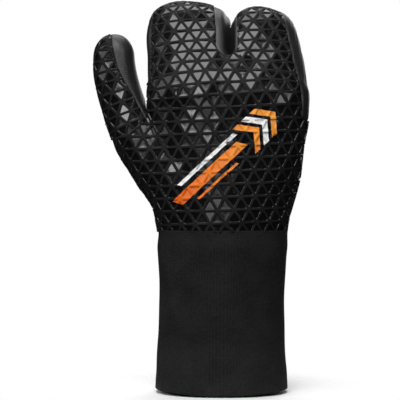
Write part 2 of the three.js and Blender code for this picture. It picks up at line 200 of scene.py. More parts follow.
def curl_at(along):
    """Where a length along the hand's mid-plane lies, seen from the side, and how far it leans."""
    y = np.zeros_like(along)
    z = CUFF_LENGTH + np.minimum(along, 0)
    lean = 0.0
    start = 0.0
    for length, turn in ((BACK_STRAIGHT, 0), (KNUCKLE_BEND_LENGTH, KNUCKLE_BEND), (FINGER_STRAIGHT, 0),
                         (JOINT_RADIUS * JOINT_BEND, JOINT_BEND), (1000.0, 0)):
        part = np.clip(along - start, 0, length)
        if turn:
            radius = length / turn
            bent = lean + part / radius
            y = y + radius * (math.cos(lean) - np.cos(bent))
            z = z + radius * (np.sin(bent) - math.sin(lean))
        else:
            y = y + part * math.sin(lean)
            z = z + part * math.cos(lean)
        lean += turn
        start += length
    turned = KNUCKLE_BEND * np.clip((along - BACK_STRAIGHT) / KNUCKLE_BEND_LENGTH, 0, 1)
    turned = turned + JOINT_BEND * np.clip((along - JOINT_HEIGHT) / (JOINT_RADIUS * JOINT_BEND), 0, 1)
    return y, z, turned


def place_on_hand(across, through, along):
    drop = KNUCKLE_SLANT * across
    y, z, lean = curl_at(along + drop)
    return np.stack([across, y + through * np.cos(lean), z - drop - through * np.sin(lean)], -1)


def gap_middle(along):
    return (GAP_SHIFT + GAP_LEAN_AT_WEB * smoothstep(along, WEB_HEIGHT - 14, WEB_HEIGHT + 4)
            + GAP_LEAN_AT_TIPS * smoothstep(along, JOINT_HEIGHT, JOINT_HEIGHT + 26))


def u_shape(x, along, middle, half, foot, radius):
    """How far inside an upright U a place lies; the U opens upwards from a round foot."""
    drop = np.maximum(foot + radius - along, 0) / radius
    return half * (1 - np.hypot((x - middle) / half, drop))


def gap_hollow(x, along):
    """How far inside the hollow between the two compartments' rolled rims a place lies."""
    return u_shape(x, along, HOLLOW_MIDDLE, HOLLOW_HALF_WIDTH, WEB_HEIGHT - 1.5, HOLLOW_FOOT_RADIUS)


def palm_section(along):
    share = np.clip(along / WEB_HEIGHT, 0, 1)
    widen, thin, square = (column(PALM_ROWS, number, share) for number in (1, 2, 3))
    # the photo shows the wrist a little off the cuff's middle, and the whole a little wider than its solids
    middle = PALM_SHIFT * np.minimum(widen, 1) + CUFF_SHIFT * (1 - share)
    half_width = lerp(WRIST_WIDTH, PALM_WIDTH, widen) / 2 + 0.3
    return middle, half_width, lerp(WRIST_DEPTH, KNUCKLE_DEPTH, thin) / 2, square


def compartment(side):
    """Rows and length of the compartment on one side of the gap: -1 index and middle, 1 ring and little."""
    return (INDEX_MIDDLE_ROWS, INDEX_MIDDLE_LENGTH) if side < 0 else (RING_LITTLE_ROWS, RING_LITTLE_LENGTH)


def outer_edge(side, along):
    rows, length = compartment(side)
    return PALM_SHIFT + side * column(rows, 1, along / length) * PALM_WIDTH / 2


def finger_section(side, along):
    rows, length = compartment(side)
    outer = outer_edge(side, along)
    inner = gap_middle(along) + side * (FINGER_GAP / 2 + column(rows, 2, along / length) * PALM_WIDTH)
    turn = np.arcsin(np.clip((along - length + FINGER_DOME) / FINGER_DOME, 0, 1))
    scale = rounded(np.maximum(np.cos(turn), 1e-6), TIP_SQUARE)
    return ((outer + inner) / 2, np.abs(outer - inner) / 2 * scale,
            FINGER_DEPTH * column(rows, 3, along / length) / 2 * scale, FINGER_SQUARE - ROUNDER + 0 * along)


def bulge(x, section):
    """Height of a superellipse over its mid-plane, and falling steeply below it outside."""
    middle, half_width, half_depth, square = section
    far = np.abs(x - middle) / half_width
    return np.where(far < 1, half_depth * (1 - np.minimum(far, 1) ** square) ** (1 / square),
                    -3 * (far - 1) * half_width)


def thumb_axis():
    """Dense points of the thumb's axis and the length up to each: a centripetal curve through the table."""
    out, up, forward = THUMB_ROWS[:, 1:4].T
    points = np.stack([-THUMB_OUT * out, THUMB_FORWARD * forward,
                       CUFF_LENGTH + lerp(THUMB_ROOT, THUMB_TOP, up)], -1)
    points = np.vstack([2 * points[0] - points[1], points, 2 * points[-1] - points[-2]])
    dense = []
    for i in range(1, len(points) - 2):
        p0, p1, p2, p3 = points[i - 1:i + 3]
        d0, d1, d2 = (np.linalg.norm(b - a) ** 0.5 for a, b in ((p0, p1), (p1, p2), (p2, p3)))
        t1 = ((p1 - p0) / d0 - (p2 - p0) / (d0 + d1) + (p2 - p1) / d1) * d1
        t2 = ((p2 - p1) / d1 - (p3 - p1) / (d1 + d2) + (p3 - p2) / d2) * d1
        t = np.linspace(0, 1, 60, endpoint=i == len(points) - 3)[:, None]
        dense.append(p1 + t * (t1 + t * (3 * (p2 - p1) - 2 * t1 - t2 + t * (t1 + t2 - 2 * (p2 - p1)))))
    dense = np.vstack(dense)
    return dense, np.concatenate([[0], np.cumsum(np.linalg.norm(np.diff(dense, axis=0), axis=1))])


AXIS, AXIS_LENGTH = thumb_axis()
THUMB_LENGTH = AXIS_LENGTH[-1]


def thumb_size(share):
    """Half width and half depth of the thumb at shares of its length."""
    return THUMB_WIDTH * column(THUMB_ROWS, 4, share) / 2, THUMB_DEPTH * column(THUMB_ROWS, 5, share) / 2


def thumb_root_heights(x, along):
    """Heights of the thumb's root over the hand's mid-plane, on the back's and on the palm's side."""
    axis = AXIS[::4]
    far = np.hypot(x[..., None] - axis[:, 0], (CUFF_LENGTH + along)[..., None] - axis[:, 2])
    near = far.argmin(-1)
    height = bulge(far.min(-1), (0.0, *thumb_size(AXIS_LENGTH[::4][near] / THUMB_LENGTH), THUMB_SQUARE))
    forward = axis[near, 1]
    return height - forward, height + forward


FAR_BELOW = -60.0  # a height where a limb has no skin


def hand_heights(side, x, along):
    """Heights of the hand's skin on the back's and the palm's side, left or right of the gap."""
    middle, half_width, half_depth, square = palm_section(along)
    end = np.clip((along - WEB_HEIGHT + WEB_DOME) / WEB_DOME, 0, 1)
    dome = np.sqrt(np.maximum(1 - end ** 2, 1e-9)) ** (2 / WEB_SQUARE)
    palm = bulge(x, (middle, half_width * dome, half_depth * dome, square - ROUNDER))
    palm = np.where(along < WEB_HEIGHT, palm, FAR_BELOW)

    rows, length = compartment(side)
    start = rows[0, 0] * length - FINGER_LEAD
    middle, half_width, half_depth, square = finger_section(side, along)
    at_gap = lerp(FINGER_SQUARE_AT_GAP, square, smoothstep(along, *SQUARE_ZONE))
    fingers = bulge(x, (middle, half_width, half_depth, np.where(side * (x - middle) < 0, at_gap, square)))
    tilt = FINGER_TILT * (1 - smoothstep(along, *TILT_ZONE))
    fingers = fingers - side * tilt * (x - middle) * half_depth / (FINGER_DEPTH / 2)
    fingers = fingers - FINGER_LEAD * (1 - smoothstep(along, start, start + 14))
    fingers = np.where(along > start, fingers, FAR_BELOW)

    either = np.maximum(palm, fingers)
    blended = smooth_max(palm, fingers, 3.0 * np.clip(either / 8, 0.02, 1))
    both = np.where(np.minimum(palm, fingers) > FAR_BELOW, blended, either)
    hollow = np.maximum(gap_hollow(x, along) * (1 - 0.75 * smoothstep(along, *HOLLOW_ZONE)), 0)
    hollow = HOLLOW_DEPTH * hollow ** 2 / (hollow + 0.5)
    both = np.where(both > 0, np.maximum(both - hollow, 0.06 * both), both)
    if side > 0:
        return both, both
    root = (along < CROTCH_HEIGHT) & (x < -20)
    reach = lerp(*ROOT_BLENDS, smoothstep(along, 45, CROTCH_HEIGHT))
    return [np.where(root, smooth_max(both, thumb, reach), both) for thumb in thumb_root_heights(x, along)]


class Skin:
    """A skin on rows across it: u runs along a row and v from row to row, both as lengths in millimetres.
    sample() gives the place in space, then across, through and along in the straight form."""
    STEP = 0.4

    def __init__(self, across, through, along, place, centre, zero, v=None):
        spots = place(across, through, along)
        steps = np.hypot(np.diff(across, axis=1), np.diff(through, axis=1))
        u = np.concatenate([np.zeros((len(along), 1)), np.cumsum(steps, 1)], 1)
        u = u - u[:, centre:centre + 1] + zero[:, None]
        if v is None:
            middle = spots[:, centre]
            v = np.concatenate([[0], np.cumsum(np.linalg.norm(np.diff(middle, axis=0), axis=1))])
        self.row_v = v
        self.row_along = along[:, 0]
        self.low_u = math.floor(u.min())
        grid_u = np.arange(self.low_u, u.max() + self.STEP, self.STEP)
        values = np.concatenate([spots, across[..., None], through[..., None], along[..., None]], -1)
        table = np.stack([[np.interp(grid_u, u[j], values[j, :, c]) for c in range(6)] for j in range(len(v))])
        grid_v = np.arange(0, v[-1], self.STEP)
        row = np.clip(np.searchsorted(v, grid_v, side="right") - 1, 0, len(v) - 2)
        part = ((grid_v - v[row]) / np.maximum(v[row + 1] - v[row], 1e-9))[:, None, None]
        self.table = (table[row] * (1 - part) + table[row + 1] * part).transpose(0, 2, 1)
        self.end_v = grid_v[-1]
        self.edge_u = np.stack([u.min(1), u.max(1)])

    def sample(self, u, v):
        """The table's values between its grid's points."""
        fu = np.clip((u - self.low_u) / self.STEP, 0, self.table.shape[1] - 1.001)
        fv = np.clip(v / self.STEP, 0, self.table.shape[0] - 1.001)
        iu, iv = fu.astype(int), fv.astype(int)
        tu, tv = (fu - iu)[:, None], (fv - iv)[:, None]
        t = self.table
        return ((t[iv, iu] * (1 - tu) + t[iv, iu + 1] * tu) * (1 - tv)
                + (t[iv + 1, iu] * (1 - tu) + t[iv + 1, iu + 1] * tu) * tv)

    def to_end(self, u, v):
        """How far a place is from the last row, the fingertip's pole."""
        return self.end_v - v

    def inside(self, u, v):
        """How far inside the skin's rows a place lies."""
        low, high = (np.interp(v, self.row_v, edge) for edge in self.edge_u)
        return np.minimum.reduce([u - low, high - u, v + 0.0, self.end_v - v - 0.1])

    def normal(self, u, v):
        v = np.minimum(v, self.end_v - 1.2)
        du = self.sample(u + 0.8, v)[:, :3] - self.sample(u - 0.8, v)[:, :3]
        dv = self.sample(u, v + 0.8)[:, :3] - self.sample(u, v - 0.8)[:, :3]
        n = np.cross(du, dv)
        return n / np.maximum(np.linalg.norm(n, axis=1, keepdims=True), 1e-9)


def rows_to_tip(start, length, dome, count):
    """Places along a limb where rows lie, closer together over the dome at its tip, and the dome's turns."""
    turns = np.linspace(0, math.pi / 2, count)[1:]
    return np.concatenate([np.arange(start, length - dome, ROW_STEP), length - dome + dome * np.sin(turns)]), turns


def outer_side(side, a, middle):
    """How far out the hand's two faces meet in each row, found by halving."""
    start = -110.0 if side < 0 else 80.0  # well outside the hand
    x = start + (middle - start)[:, None] * np.linspace(0, 1, 160)
    first = (sum(hand_heights(side, x, np.repeat(a[:, None], x.shape[1], 1))) > 0).argmax(1)
    rows = np.arange(len(a))
    low, high = x[rows, np.maximum(first - 1, 0)], x[rows, first]
    for _ in range(24):
        half = (low + high) / 2
        solid = sum(hand_heights(side, half, a)) > 0
        high, low = np.where(solid, half, high), np.where(solid, low, half)
    return high


def hand_skin(side, face, v=None):
    """The skin of the hand on one side of the gap, centred on its back's (face -1) or palm's (face 1) side.
    Its rows run from the middle of the other face, round the outer side, to the gap and on round the finger."""
    a = rows_to_tip(0.0, compartment(side)[1], FINGER_DOME, 60)[0]
    middle = finger_section(side, np.maximum(a, 100.0))[0]
    finger_middle, half_width = finger_section(side, a)[:2]
    joined = (a < WEB_HEIGHT - 0.1)[:, None]
    inner = np.where(joined[:, 0], gap_middle(a), finger_middle - side * half_width)
    outer = outer_side(side, a, middle)
    share = 1 - np.cos(np.linspace(0, 1, 90) * math.pi / 2)
    from_outer = outer[:, None] + (middle - outer)[:, None] * share
    share = np.sin(np.linspace(0, 1, 60)[1:] * math.pi / 2)
    to_inner = middle[:, None] + (inner - middle)[:, None] * share
    across = [from_outer[:, :0:-1], from_outer, to_inner, to_inner[:, ::-1]]

    through = []
    for part, is_own in zip(across, (False, True, True, False)):
        heights = hand_heights(side, part, np.repeat(a[:, None], part.shape[1], 1))
        own, other = heights if face < 0 else heights[::-1]
        through.append(face * np.maximum(own, -30.0) if is_own else -face * np.maximum(other, -30.0))
    for values in (across, through):  # the rows end at the gap's middle where the palm joins the fingers
        values[3] = np.where(joined, values[2][:, -1:], values[3])
    across, through = np.concatenate(across, 1), np.concatenate(through, 1)
    centre = 2 * from_outer.shape[1] - 2
    if side > 0:
        across, through, centre = across[:, ::-1], through[:, ::-1], across.shape[1] - 1 - centre
    along = np.repeat(a[:, None], across.shape[1], 1)
    return Skin(across, through, along, place_on_hand, centre, middle - GAP_SHIFT, v)


def common_rows(face):
    """The two skins of one face of the hand, with rows that meet where the palm joins them."""
    skins = [hand_skin(side, face) for side in (-1, 1)]
    web = [np.searchsorted(s.row_along, WEB_HEIGHT) for s in skins]
    mean = (skins[0].row_v[:web[0]] + skins[1].row_v[:web[1]]) / 2
    result = []
    for side, skin, w in zip((-1, 1), skins, web):
        v = np.concatenate([mean, mean[-1] + skin.row_v[w:] - skin.row_v[w - 1]])
        result.append(hand_skin(side, face, v))
    return result


class PairedSkin:
    """The skins left and right of the gap as one: they are mixed where the palm joins them."""

    def __init__(self, left, right):
        self.left, self.right = left, right
        self.end_v = max(left.end_v, right.end_v)

    def share(self, u, v):
        """How much of the right skin holds at a place: 0 or 1 past the web, with a short slope before it."""
        along = np.interp(v, self.left.row_v, self.left.row_along)
        past = u - gap_middle(along) + GAP_SHIFT
        return np.where(along < WEB_HEIGHT - 1, np.clip((past + 2) / 4, 0, 1), past > 0)

    def sample(self, u, v):
        t = self.share(u, v)[:, None]
        return self.left.sample(u, v) * (1 - t) + self.right.sample(u, v) * t

    def to_end(self, u, v):
        return np.where(self.share(u, v) > 0.5, self.right.to_end(u, v), self.left.to_end(u, v))

    def inside(self, u, v):
        web = np.interp(WEB_HEIGHT, self.left.row_along, self.left.row_v)
        own = np.where(self.share(u, v) > 0.5, self.right.inside(u, v), self.left.inside(u, v))
        return np.where(v > web, own, v)

    normal = Skin.normal


def on_axis(length):
    """Places on the thumb's axis."""
    return np.stack([np.interp(length, AXIS_LENGTH, AXIS[:, c]) for c in range(3)], -1)


def place_on_thumb(across, through, along):
    share = np.clip(along, 0, THUMB_LENGTH)
    tangent = on_axis(np.minimum(share + 1, THUMB_LENGTH)) - on_axis(np.maximum(share - 1, 0))
    tangent /= np.linalg.norm(tangent, axis=-1, keepdims=True)
    side = np.stack([tangent[..., 2], 0 * tangent[..., 0], -tangent[..., 0]], -1)
    side /= np.linalg.norm(side, axis=-1, keepdims=True)
    return on_axis(share) + across[..., None] * side + through[..., None] * np.cross(tangent, side)


def thumb_skin(centre_turn):
    """The thumb's skin, with its rows centred on its outer (half a turn) or inner side (no turn)."""
    s, turns = rows_to_tip(THUMB_START, THUMB_LENGTH, THUMB_DOME, 50)
    scale = np.concatenate([np.ones(len(s) - len(turns)), rounded(np.maximum(np.cos(turns), 1e-6), THUMB_SQUARE)])
    half_width, half_depth = (half * scale for half in thumb_size(s / THUMB_LENGTH))
    turn = centre_turn + np.linspace(-math.pi, math.pi, 241)
    across = half_width[:, None] * rounded(np.cos(turn), THUMB_SQUARE)
    through = half_depth[:, None] * rounded(np.sin(turn), THUMB_SQUARE)
    return Skin(across, through, np.repeat(s[:, None], len(turn), 1), place_on_thumb, 120, 0 * s)


# ---- where each piece ends, as a value that is positive inside it ----

def gap_block(across, along):
    back = PALM_WIDTH * column(INDEX_MIDDLE_ROWS, 2, along / INDEX_MIDDLE_LENGTH)
    return u_shape(across, along, STRIP_MIDDLE, GAP_STRIP_WIDTH / 2 + 0.5 + back, WEB_HEIGHT - 4.2, STRIP_FOOT_RADIUS)


def side_block(side, width, foot, opened, turn, across, along):
    """A strip down a compartment's outer side. It widens where opened says, from its foot on, and turns in by a
    share of the palm's width over the fingertip."""
    length = compartment(side)[1]
    tip = turn * smoothstep(along, length - FINGER_DEPTH, length) * PALM_WIDTH
    past_edge = side * (across - outer_edge(side, along)) + tip
    return np.minimum(past_edge + width * smoothstep(along, *opened), along - foot)


def thumb_block(spots):
    crotch = PALM_SHIFT - PALM_WIDTH / 2 - 0.5
    low = CUFF_LENGTH + CROTCH_HEIGHT
    spread = CROTCH_SPREAD * np.clip((spots[:, 2] - low) / (THUMB_TOP - CROTCH_HEIGHT), 0, 1)
    seam = np.interp(spots[:, 0], THUMB_SEAM[:, 0], THUMB_SEAM[:, 1])
    return np.minimum(crotch - spread - spots[:, 0], spots[:, 2] - seam)


def seam_plane(along):
    return smoothstep(along, JOINT_HEIGHT, INDEX_MIDDLE_LENGTH) * 0.3 * FINGER_DEPTH


def hand_fields(s):
    """Values of the hand's strips and of its two panels at sampled spots."""
    across, through, along = s[:, 3], s[:, 4], s[:, 5]
    thumb, gap = thumb_block(s), gap_block(across, along)
    index_foot, little_foot = BACK_STRAIGHT + KNUCKLE_BEND_LENGTH, BACK_STRAIGHT * 0.88
    index = side_block(-1, INDEX_STRIP, index_foot, (BACK_STRAIGHT, index_foot + KNUCKLE_BEND_LENGTH), 0.15,
                       across, along)
    little = side_block(1, LITTLE_STRIP, little_foot, (little_foot - KNUCKLE_BEND_LENGTH, WEB_HEIGHT), 0.1,
                        across, along)
    return {"gap": gap, "index": np.minimum(index, -thumb), "little": little,
            "panels": np.minimum.reduce([-thumb, -gap, -index, -little]), "back": seam_plane(along) - through}


def strip_edge(along):
    return THUMB_WIDTH * column(THUMB_ROWS, 6, along / THUMB_LENGTH)


# ---- meshes ----

def clip(points, faces, value):
    """Keeps the part of a triangle mesh where value is positive, and splits the triangles on its border."""
    inside = value > 0
    count = inside[faces].sum(1)
    kept, edges, tails = [faces[count == 3]], [], []
    for number in (1, 2):
        part = faces[count == number]
        first = (inside[part] == (number == 1)).argmax(1)
        part = part[np.arange(len(part))[:, None], (first[:, None] + np.arange(3)) % 3]
        edges += [part[:, [0, 1]], part[:, [0, 2]]]
        tails.append(part)
    sizes = [len(e) for e in edges]
    pairs = np.sort(np.concatenate(edges), 1)
    unique, where = np.unique(pairs, axis=0, return_inverse=True)
    where = where.reshape(-1) + len(points)
    a, b = value[unique[:, 0]], value[unique[:, 1]]
    t = np.clip(a / (a - b), 0.0, 1.0)[:, None]
    points = np.concatenate([points, points[unique[:, 0]] * (1 - t) + points[unique[:, 1]] * t])
    cut = np.split(where, np.cumsum(sizes)[:-1])
    kept.append(np.stack([tails[0][:, 0], cut[0], cut[1]], 1))
    kept.append(np.stack([cut[2], tails[1][:, 1], tails[1][:, 2]], 1))
    kept.append(np.stack([cut[2], tails[1][:, 2], cut[3]], 1))
    faces = np.concatenate(kept)
    used, faces = np.unique(faces, return_inverse=True)
    return points[used], faces.reshape(-1, 3)


def border(faces):
    """Directed edges that only one face uses."""
    directed = np.concatenate([faces[:, [0, 1]], faces[:, [1, 2]], faces[:, [2, 0]]])
    key = directed[:, 0].astype(np.int64) * (faces.max() + 1) + directed[:, 1]
    back = directed[:, 1].astype(np.int64) * (faces.max() + 1) + directed[:, 0]
    return directed[~np.isin(key, back)]


def level(s, u, v):
    """The lift of a sheet that lies on its skin."""
    return 0 * u


def lay(skin, flat, faces, region, lift=level, skirt=0.0, outward=1):
    """Trims a flat sheet (u, v, height) to a region, lays it on a skin, lifted by lift, and turns its border
    inwards by skirt. Returns places, faces and u, v, height of each point."""
    s = skin.sample(flat[:, 0], flat[:, 1])
    flat, faces = clip(flat, faces, np.minimum(region(s), skin.inside(flat[:, 0], flat[:, 1])))
    u, v, h = flat.T[:3]
    s, normal = skin.sample(u, v), skin.normal(u, v) * outward
    base, lifted = s[:, :3], lift(s, u, v)
    h = h * (0.3 + 0.7 * smoothstep(skin.to_end(u, v), *EMBOSS_FADE))  # the emboss fades towards a fingertip's pole
    spots = base + normal * (h + lifted)[:, None]
    if flat.shape[1] > 3:
        spots = on_facet_planes(skin, flat, spots, lift, outward)
    if skirt:
        edge = border(faces)
        loop, edge = np.unique(edge, return_inverse=True)
        a, b = edge.reshape(-1, 2).T
        n = len(spots)
        faces = np.concatenate([faces, np.stack([loop[b], loop[a], n + a], 1), np.stack([loop[b], n + a, n + b], 1)])
        spots = np.concatenate([spots, base[loop] + normal[loop] * (lifted[loop] - skirt)[:, None]])
        flat = np.concatenate([flat, flat[loop]])
    return spots, faces if outward > 0 else faces[:, ::-1], flat


def on_facet_planes(skin, flat, spots, lift, outward):
    """Moves the points on the floors of facets to flat planes, each a little askew."""
    floor = flat[:, 2] < FACET_FLOOR
    u, v, h, cu, cv = flat[floor].T
    s, normal = skin.sample(cu, cv), skin.normal(cu, cv) * outward
    middle = s[:, :3] + normal * (h + lift(s, cu, cv))[:, None]
    along_u = (skin.sample(cu + 0.8, cv) - skin.sample(cu - 0.8, cv))[:, :3] / 1.6
    along_v = (skin.sample(cu, cv + 0.8) - skin.sample(cu, cv - 0.8))[:, :3] / 1.6
    askew_u = FACET_TILT * np.sin(cu * 12.9898 + cv * 78.233)
    askew_v = FACET_TILT * np.sin(cu * 39.346 + cv * 11.135)
    plane = middle + along_u * (u - cu)[:, None] + along_v * (v - cv)[:, None]
    rise = ((plane - spots[floor]) * normal).sum(1) + askew_u * (u - cu) + askew_v * (v - cv) - FACET_SINK
    rise = np.where(cv > 1.0, np.clip(rise, -0.35, 0.3), 0.0) * smoothstep(skin.to_end(cu, cv), *PLANE_FADE)
    spots[floor] += normal * rise[:, None]
    return spots


def grid_faces(rows, columns):
    """The triangles between the points of a grid."""
    index = np.arange(rows * columns).reshape(rows, columns)
    a, b, c, d = index[:-1, :-1], index[:-1, 1:], index[1:, 1:], index[1:, :-1]
    return np.concatenate([np.stack([a, b, c], -1).reshape(-1, 3), np.stack([a, c, d], -1).reshape(-1, 3)])


def grid_sheet(low_u, high_u, low_v, high_v, step_u, step_v):
    """A flat sheet of triangles."""
    us = np.linspace(low_u, high_u, int((high_u - low_u) / step_u) + 2)
    vs = np.linspace(low_v, high_v, int((high_v - low_v) / step_v) + 2)
    u, v = np.meshgrid(us, vs)
    return np.stack([u.ravel(), v.ravel(), 0 * u.ravel()], -1), grid_faces(len(vs), len(us))


def joined(parts):
    """One set of places, faces and flat places from several."""
    starts = np.cumsum([0] + [len(spots) for spots, _, _ in parts])
    return (np.concatenate([spots for spots, _, _ in parts]),
            np.concatenate([faces + start for (_, faces, _), start in zip(parts, starts)]),
            np.concatenate([flat for _, _, flat in parts]))


def new_object(name, data):
    obj = bpy.data.objects.new(name, data)
    bpy.context.scene.collection.objects.link(obj)
    return obj


def is_scrap(faces, size):
    """Marks the faces of loose islands that have fewer faces than size."""
    label = np.arange(faces.max() + 1)
    while True:
        least = label[faces].min(1)
        new = label.copy()
        for corner in faces.T:
            np.minimum.at(new, corner, least)
        new = new[new]
        if (new == label).all():
            break
        label = new
    island = label[faces[:, 0]]
    return np.bincount(island)[island] < size


def mesh_piece(name, spots, faces, materials, flat, second=None):
    """A smooth-shaded object from places in millimetres, with its flat places as UV map in decimetres.
    The faces marked in second get the second material."""
    kept = ~is_scrap(faces, SCRAP_FACES)
    used, faces = np.unique(faces[kept], return_inverse=True)
    faces = faces.reshape(-1, 3)
    mesh = bpy.data.meshes.new(name)
    mesh.from_pydata((spots[used] * MM).tolist(), [], faces.tolist())
    mesh.shade_smooth()
    uv = mesh.uv_layers.new(name="flat")
    uv.data.foreach_set("uv", (flat[used][faces.ravel(), :2] / 100).astype(np.float32).ravel())
    for material in materials:
        mesh.materials.append(bpy.data.materials[material])
    if second is not None:
        mesh.polygons.foreach_set("material_index", second[kept].astype(np.int32))
    mesh.validate()
    return new_object(name, mesh)


def dressed(obj, slot, *nodes):
    """Puts a piece on the body root, in place of the solids of its nodes. The slot is not used."""
    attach(obj, "root")
    if nodes:
        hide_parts(*nodes)


# ---- Geometry Nodes ----

def node_in(tree, kind, inputs=None, **settings):
    """Adds a node with its settings. An input gets a value, or a link from a socket or a node's first output."""
    node = tree.nodes.new(kind)
    for key, value in settings.items():
        setattr(node, key, value)
    for key, value in (inputs or {}).items():
        if isinstance(value, bpy.types.Node):
            value = value.outputs[0]
        if isinstance(value, bpy.types.NodeSocket):
            tree.links.new(value, node.inputs[key])
        else:
            node.inputs[key].default_value = value
    return node


def new_tree(name, made, inputs):
    """A Geometry Nodes tree with named inputs (kind of socket and default), and their identifiers."""
    tree = bpy.data.node_groups.new(name, "GeometryNodeTree")
    ids = {}
    for key, (kind, default) in inputs.items():
        socket = tree.interface.new_socket(key, in_out="INPUT", socket_type="NodeSocket" + kind)
        if default is not None:
            socket.default_value = default
        ids[key] = socket.identifier
    tree.interface.new_socket(made, in_out="OUTPUT", socket_type="NodeSocketGeometry")
    return tree, ids


def emboss_tree():
    """Copies the facet to every cell of a triangular lattice, every second one turned half round."""
    tree, ids = new_tree("embossed_lattice", "Lattice", {
        "Facet": ("Geometry", None), "Columns": ("Int", 20), "Rows": ("Int", 29), "Pitch": ("Float", 0.01),
        "Material": ("Material", None)})
    put = partial(node_in, tree)
    given = put("NodeGroupInput").outputs
    place = put("GeometryNodeInputPosition")
    known = {key: given[key] for key in ("Pitch", "Columns", "Rows")}
    known["y"] = put("ShaderNodeSeparateXYZ", {0: place}).outputs["Y"]
    for key, operation, first, second in (
            ("height", "MULTIPLY", "Pitch", math.sqrt(3) / 2), ("half", "MULTIPLY", "Pitch", 0.5),
            ("steps_x", "SUBTRACT", "Columns", 1.0), ("steps_y", "SUBTRACT", "Rows", 1.0),
            ("size_x", "MULTIPLY", "steps_x", "Pitch"), ("size_y", "MULTIPLY", "steps_y", "height"),
            ("half_y", "MULTIPLY", "size_y", 0.5), ("from_low", "ADD", "y", "half_y"),
            ("rows_up", "DIVIDE", "from_low", "height"), ("row", "ROUND", "rows_up", 0.0),
            ("odd", "MODULO", "row", 2.0), ("shift", "MULTIPLY", "odd", "half"),
            ("third", "MULTIPLY", "height", 1 / 3)):
        known[key] = put("ShaderNodeMath", {0: known[first], 1: known.get(second, second)}, operation=operation)
    grid = put("GeometryNodeMeshGrid", {"Size X": known["size_x"], "Size Y": known["size_y"],
                                        "Vertices X": given["Columns"], "Vertices Y": given["Rows"]})
    # every second row is shifted by half a pitch, and the facets that point down stand off from those that point up
    by_half = put("ShaderNodeCombineXYZ", {"X": known["shift"]})
    shifted = put("GeometryNodeSetPosition", {"Geometry": grid, "Offset": by_half})
    to_down = put("ShaderNodeCombineXYZ", {"X": known["half"], "Y": known["third"]})
    moved = put("GeometryNodeSetPosition", {"Geometry": shifted, "Offset": to_down})
    join = put("GeometryNodeJoinGeometry")
    for points, turn in ((shifted, 0.0), (moved, math.pi)):
        centred = put("GeometryNodeStoreNamedAttribute", {"Geometry": points, "Value": place, "Name": "centre"},
                      data_type="FLOAT_VECTOR", domain="POINT")
        facets = put("GeometryNodeInstanceOnPoints", {"Points": centred, "Instance": given["Facet"],
                                                      "Rotation": (0, 0, turn)})
        tree.links.new(facets.outputs[0], join.inputs[0])
    real = put("GeometryNodeRealizeInstances", {0: join})
    welded = put("GeometryNodeMergeByDistance", {"Geometry": real, "Distance": 0.00003})
    named = put("GeometryNodeSetMaterial", {"Geometry": welded, "Material": given["Material"]})
    put("NodeGroupOutput", {0: named})
    return tree, ids


def bead_tree():
    """A round bead of glue along the edges of a mesh of lines."""
    tree, ids = new_tree("seam_bead", "Bead", {"Lines": ("Geometry", None), "Radius": ("Float", BEAD_RADIUS * MM),
                                               "Material": ("Material", None)})
    put = partial(node_in, tree)
    given = put("NodeGroupInput").outputs
    curve = put("GeometryNodeMeshToCurve", {"Mesh": given["Lines"]})
    ring = put("GeometryNodeCurvePrimitiveCircle", {"Radius": given["Radius"], "Resolution": 8})
    tube = put("GeometryNodeCurveToMesh", {"Curve": curve, "Profile Curve": ring, "Fill Caps": True})
    smooth = put("GeometryNodeSetShadeSmooth", {"Geometry": tube})
    real = put("GeometryNodeRealizeInstances", {0: smooth})
    put("NodeGroupOutput", {0: put("GeometryNodeSetMaterial", {"Geometry": real, "Material": given["Material"]})})
    return tree, ids


def made_by(tree, ids, source, values):
    """The mesh that a tree makes from a mesh, with values for its inputs."""
    obj = new_object("source", source)
    modifier = obj.modifiers.new("make", "NODES")
    modifier.node_group = tree
    for key, value in values.items():
        modifier[ids[key]] = value
    mesh = bpy.data.meshes.new_from_object(obj.evaluated_get(bpy.context.evaluated_depsgraph_get()))
    obj.modifiers.remove(modifier)
    bpy.data.objects.remove(obj)
    return mesh


FACET_RINGS = np.array([  # inset as a share of the ridge, depth as a share of the recess, corners' reach
    (0.36, 0.0, 1.0), (0.43, 0.1, 0.95), (0.49, 0.6, 0.93), (0.54, 1.0, 0.91), (0.6, 1.0, 0.91)])
RIDGE_CROWN = 0.03


def facet_mesh(settings):
    """One triangular cell: half a ridge along each side, a steep flank and a dished floor, in metres."""
    pitch, ridge, recess, dish = (getattr(settings, key) / MM for key in ("pitch", "ridge", "recess", "dish"))
    inner = pitch / (2 * math.sqrt(3))
    rings = [(0.0, RIDGE_CROWN, 1.0), *(FACET_RINGS * (ridge, -recess, 1.0))]
    count = 5
    corners = [np.array([math.sin(k * 2 * math.pi / 3), math.cos(k * 2 * math.pi / 3)]) for k in (0, 2, 1)]
    points, faces = [], []
    for inset, height, reach in rings:
        radius = 2 * (inner - inset)
        for k in range(3 * count):
            p = lerp(corners[k // count], corners[(k // count + 1) % 3], k % count / count) * radius
            p = p * min(1.0, radius * reach / np.hypot(*p))
            points.append((p[0] * MM, p[1] * MM, height * MM))
    points.append((0, 0, (-recess - dish) * MM))
    ring = 3 * count
    last = (len(rings) - 1) * ring
    for start in range(0, last, ring):
        for k in range(ring):
            a, b = start + k, start + (k + 1) % ring
            faces += [(a, b, b + ring), (a, b + ring, a + ring)]
    faces += [(last + k, last + (k + 1) % ring, len(points) - 1) for k in range(ring)]
    mesh = bpy.data.meshes.new("facet")
    mesh.from_pydata(points, [], faces)
    return mesh


def values_of(collection, key, kind=float):
    """A property of three numbers of all items of a collection."""
    values = np.zeros(len(collection) * 3, kind)
    collection.foreach_get(key, values)
    return values.reshape(-1, 3)


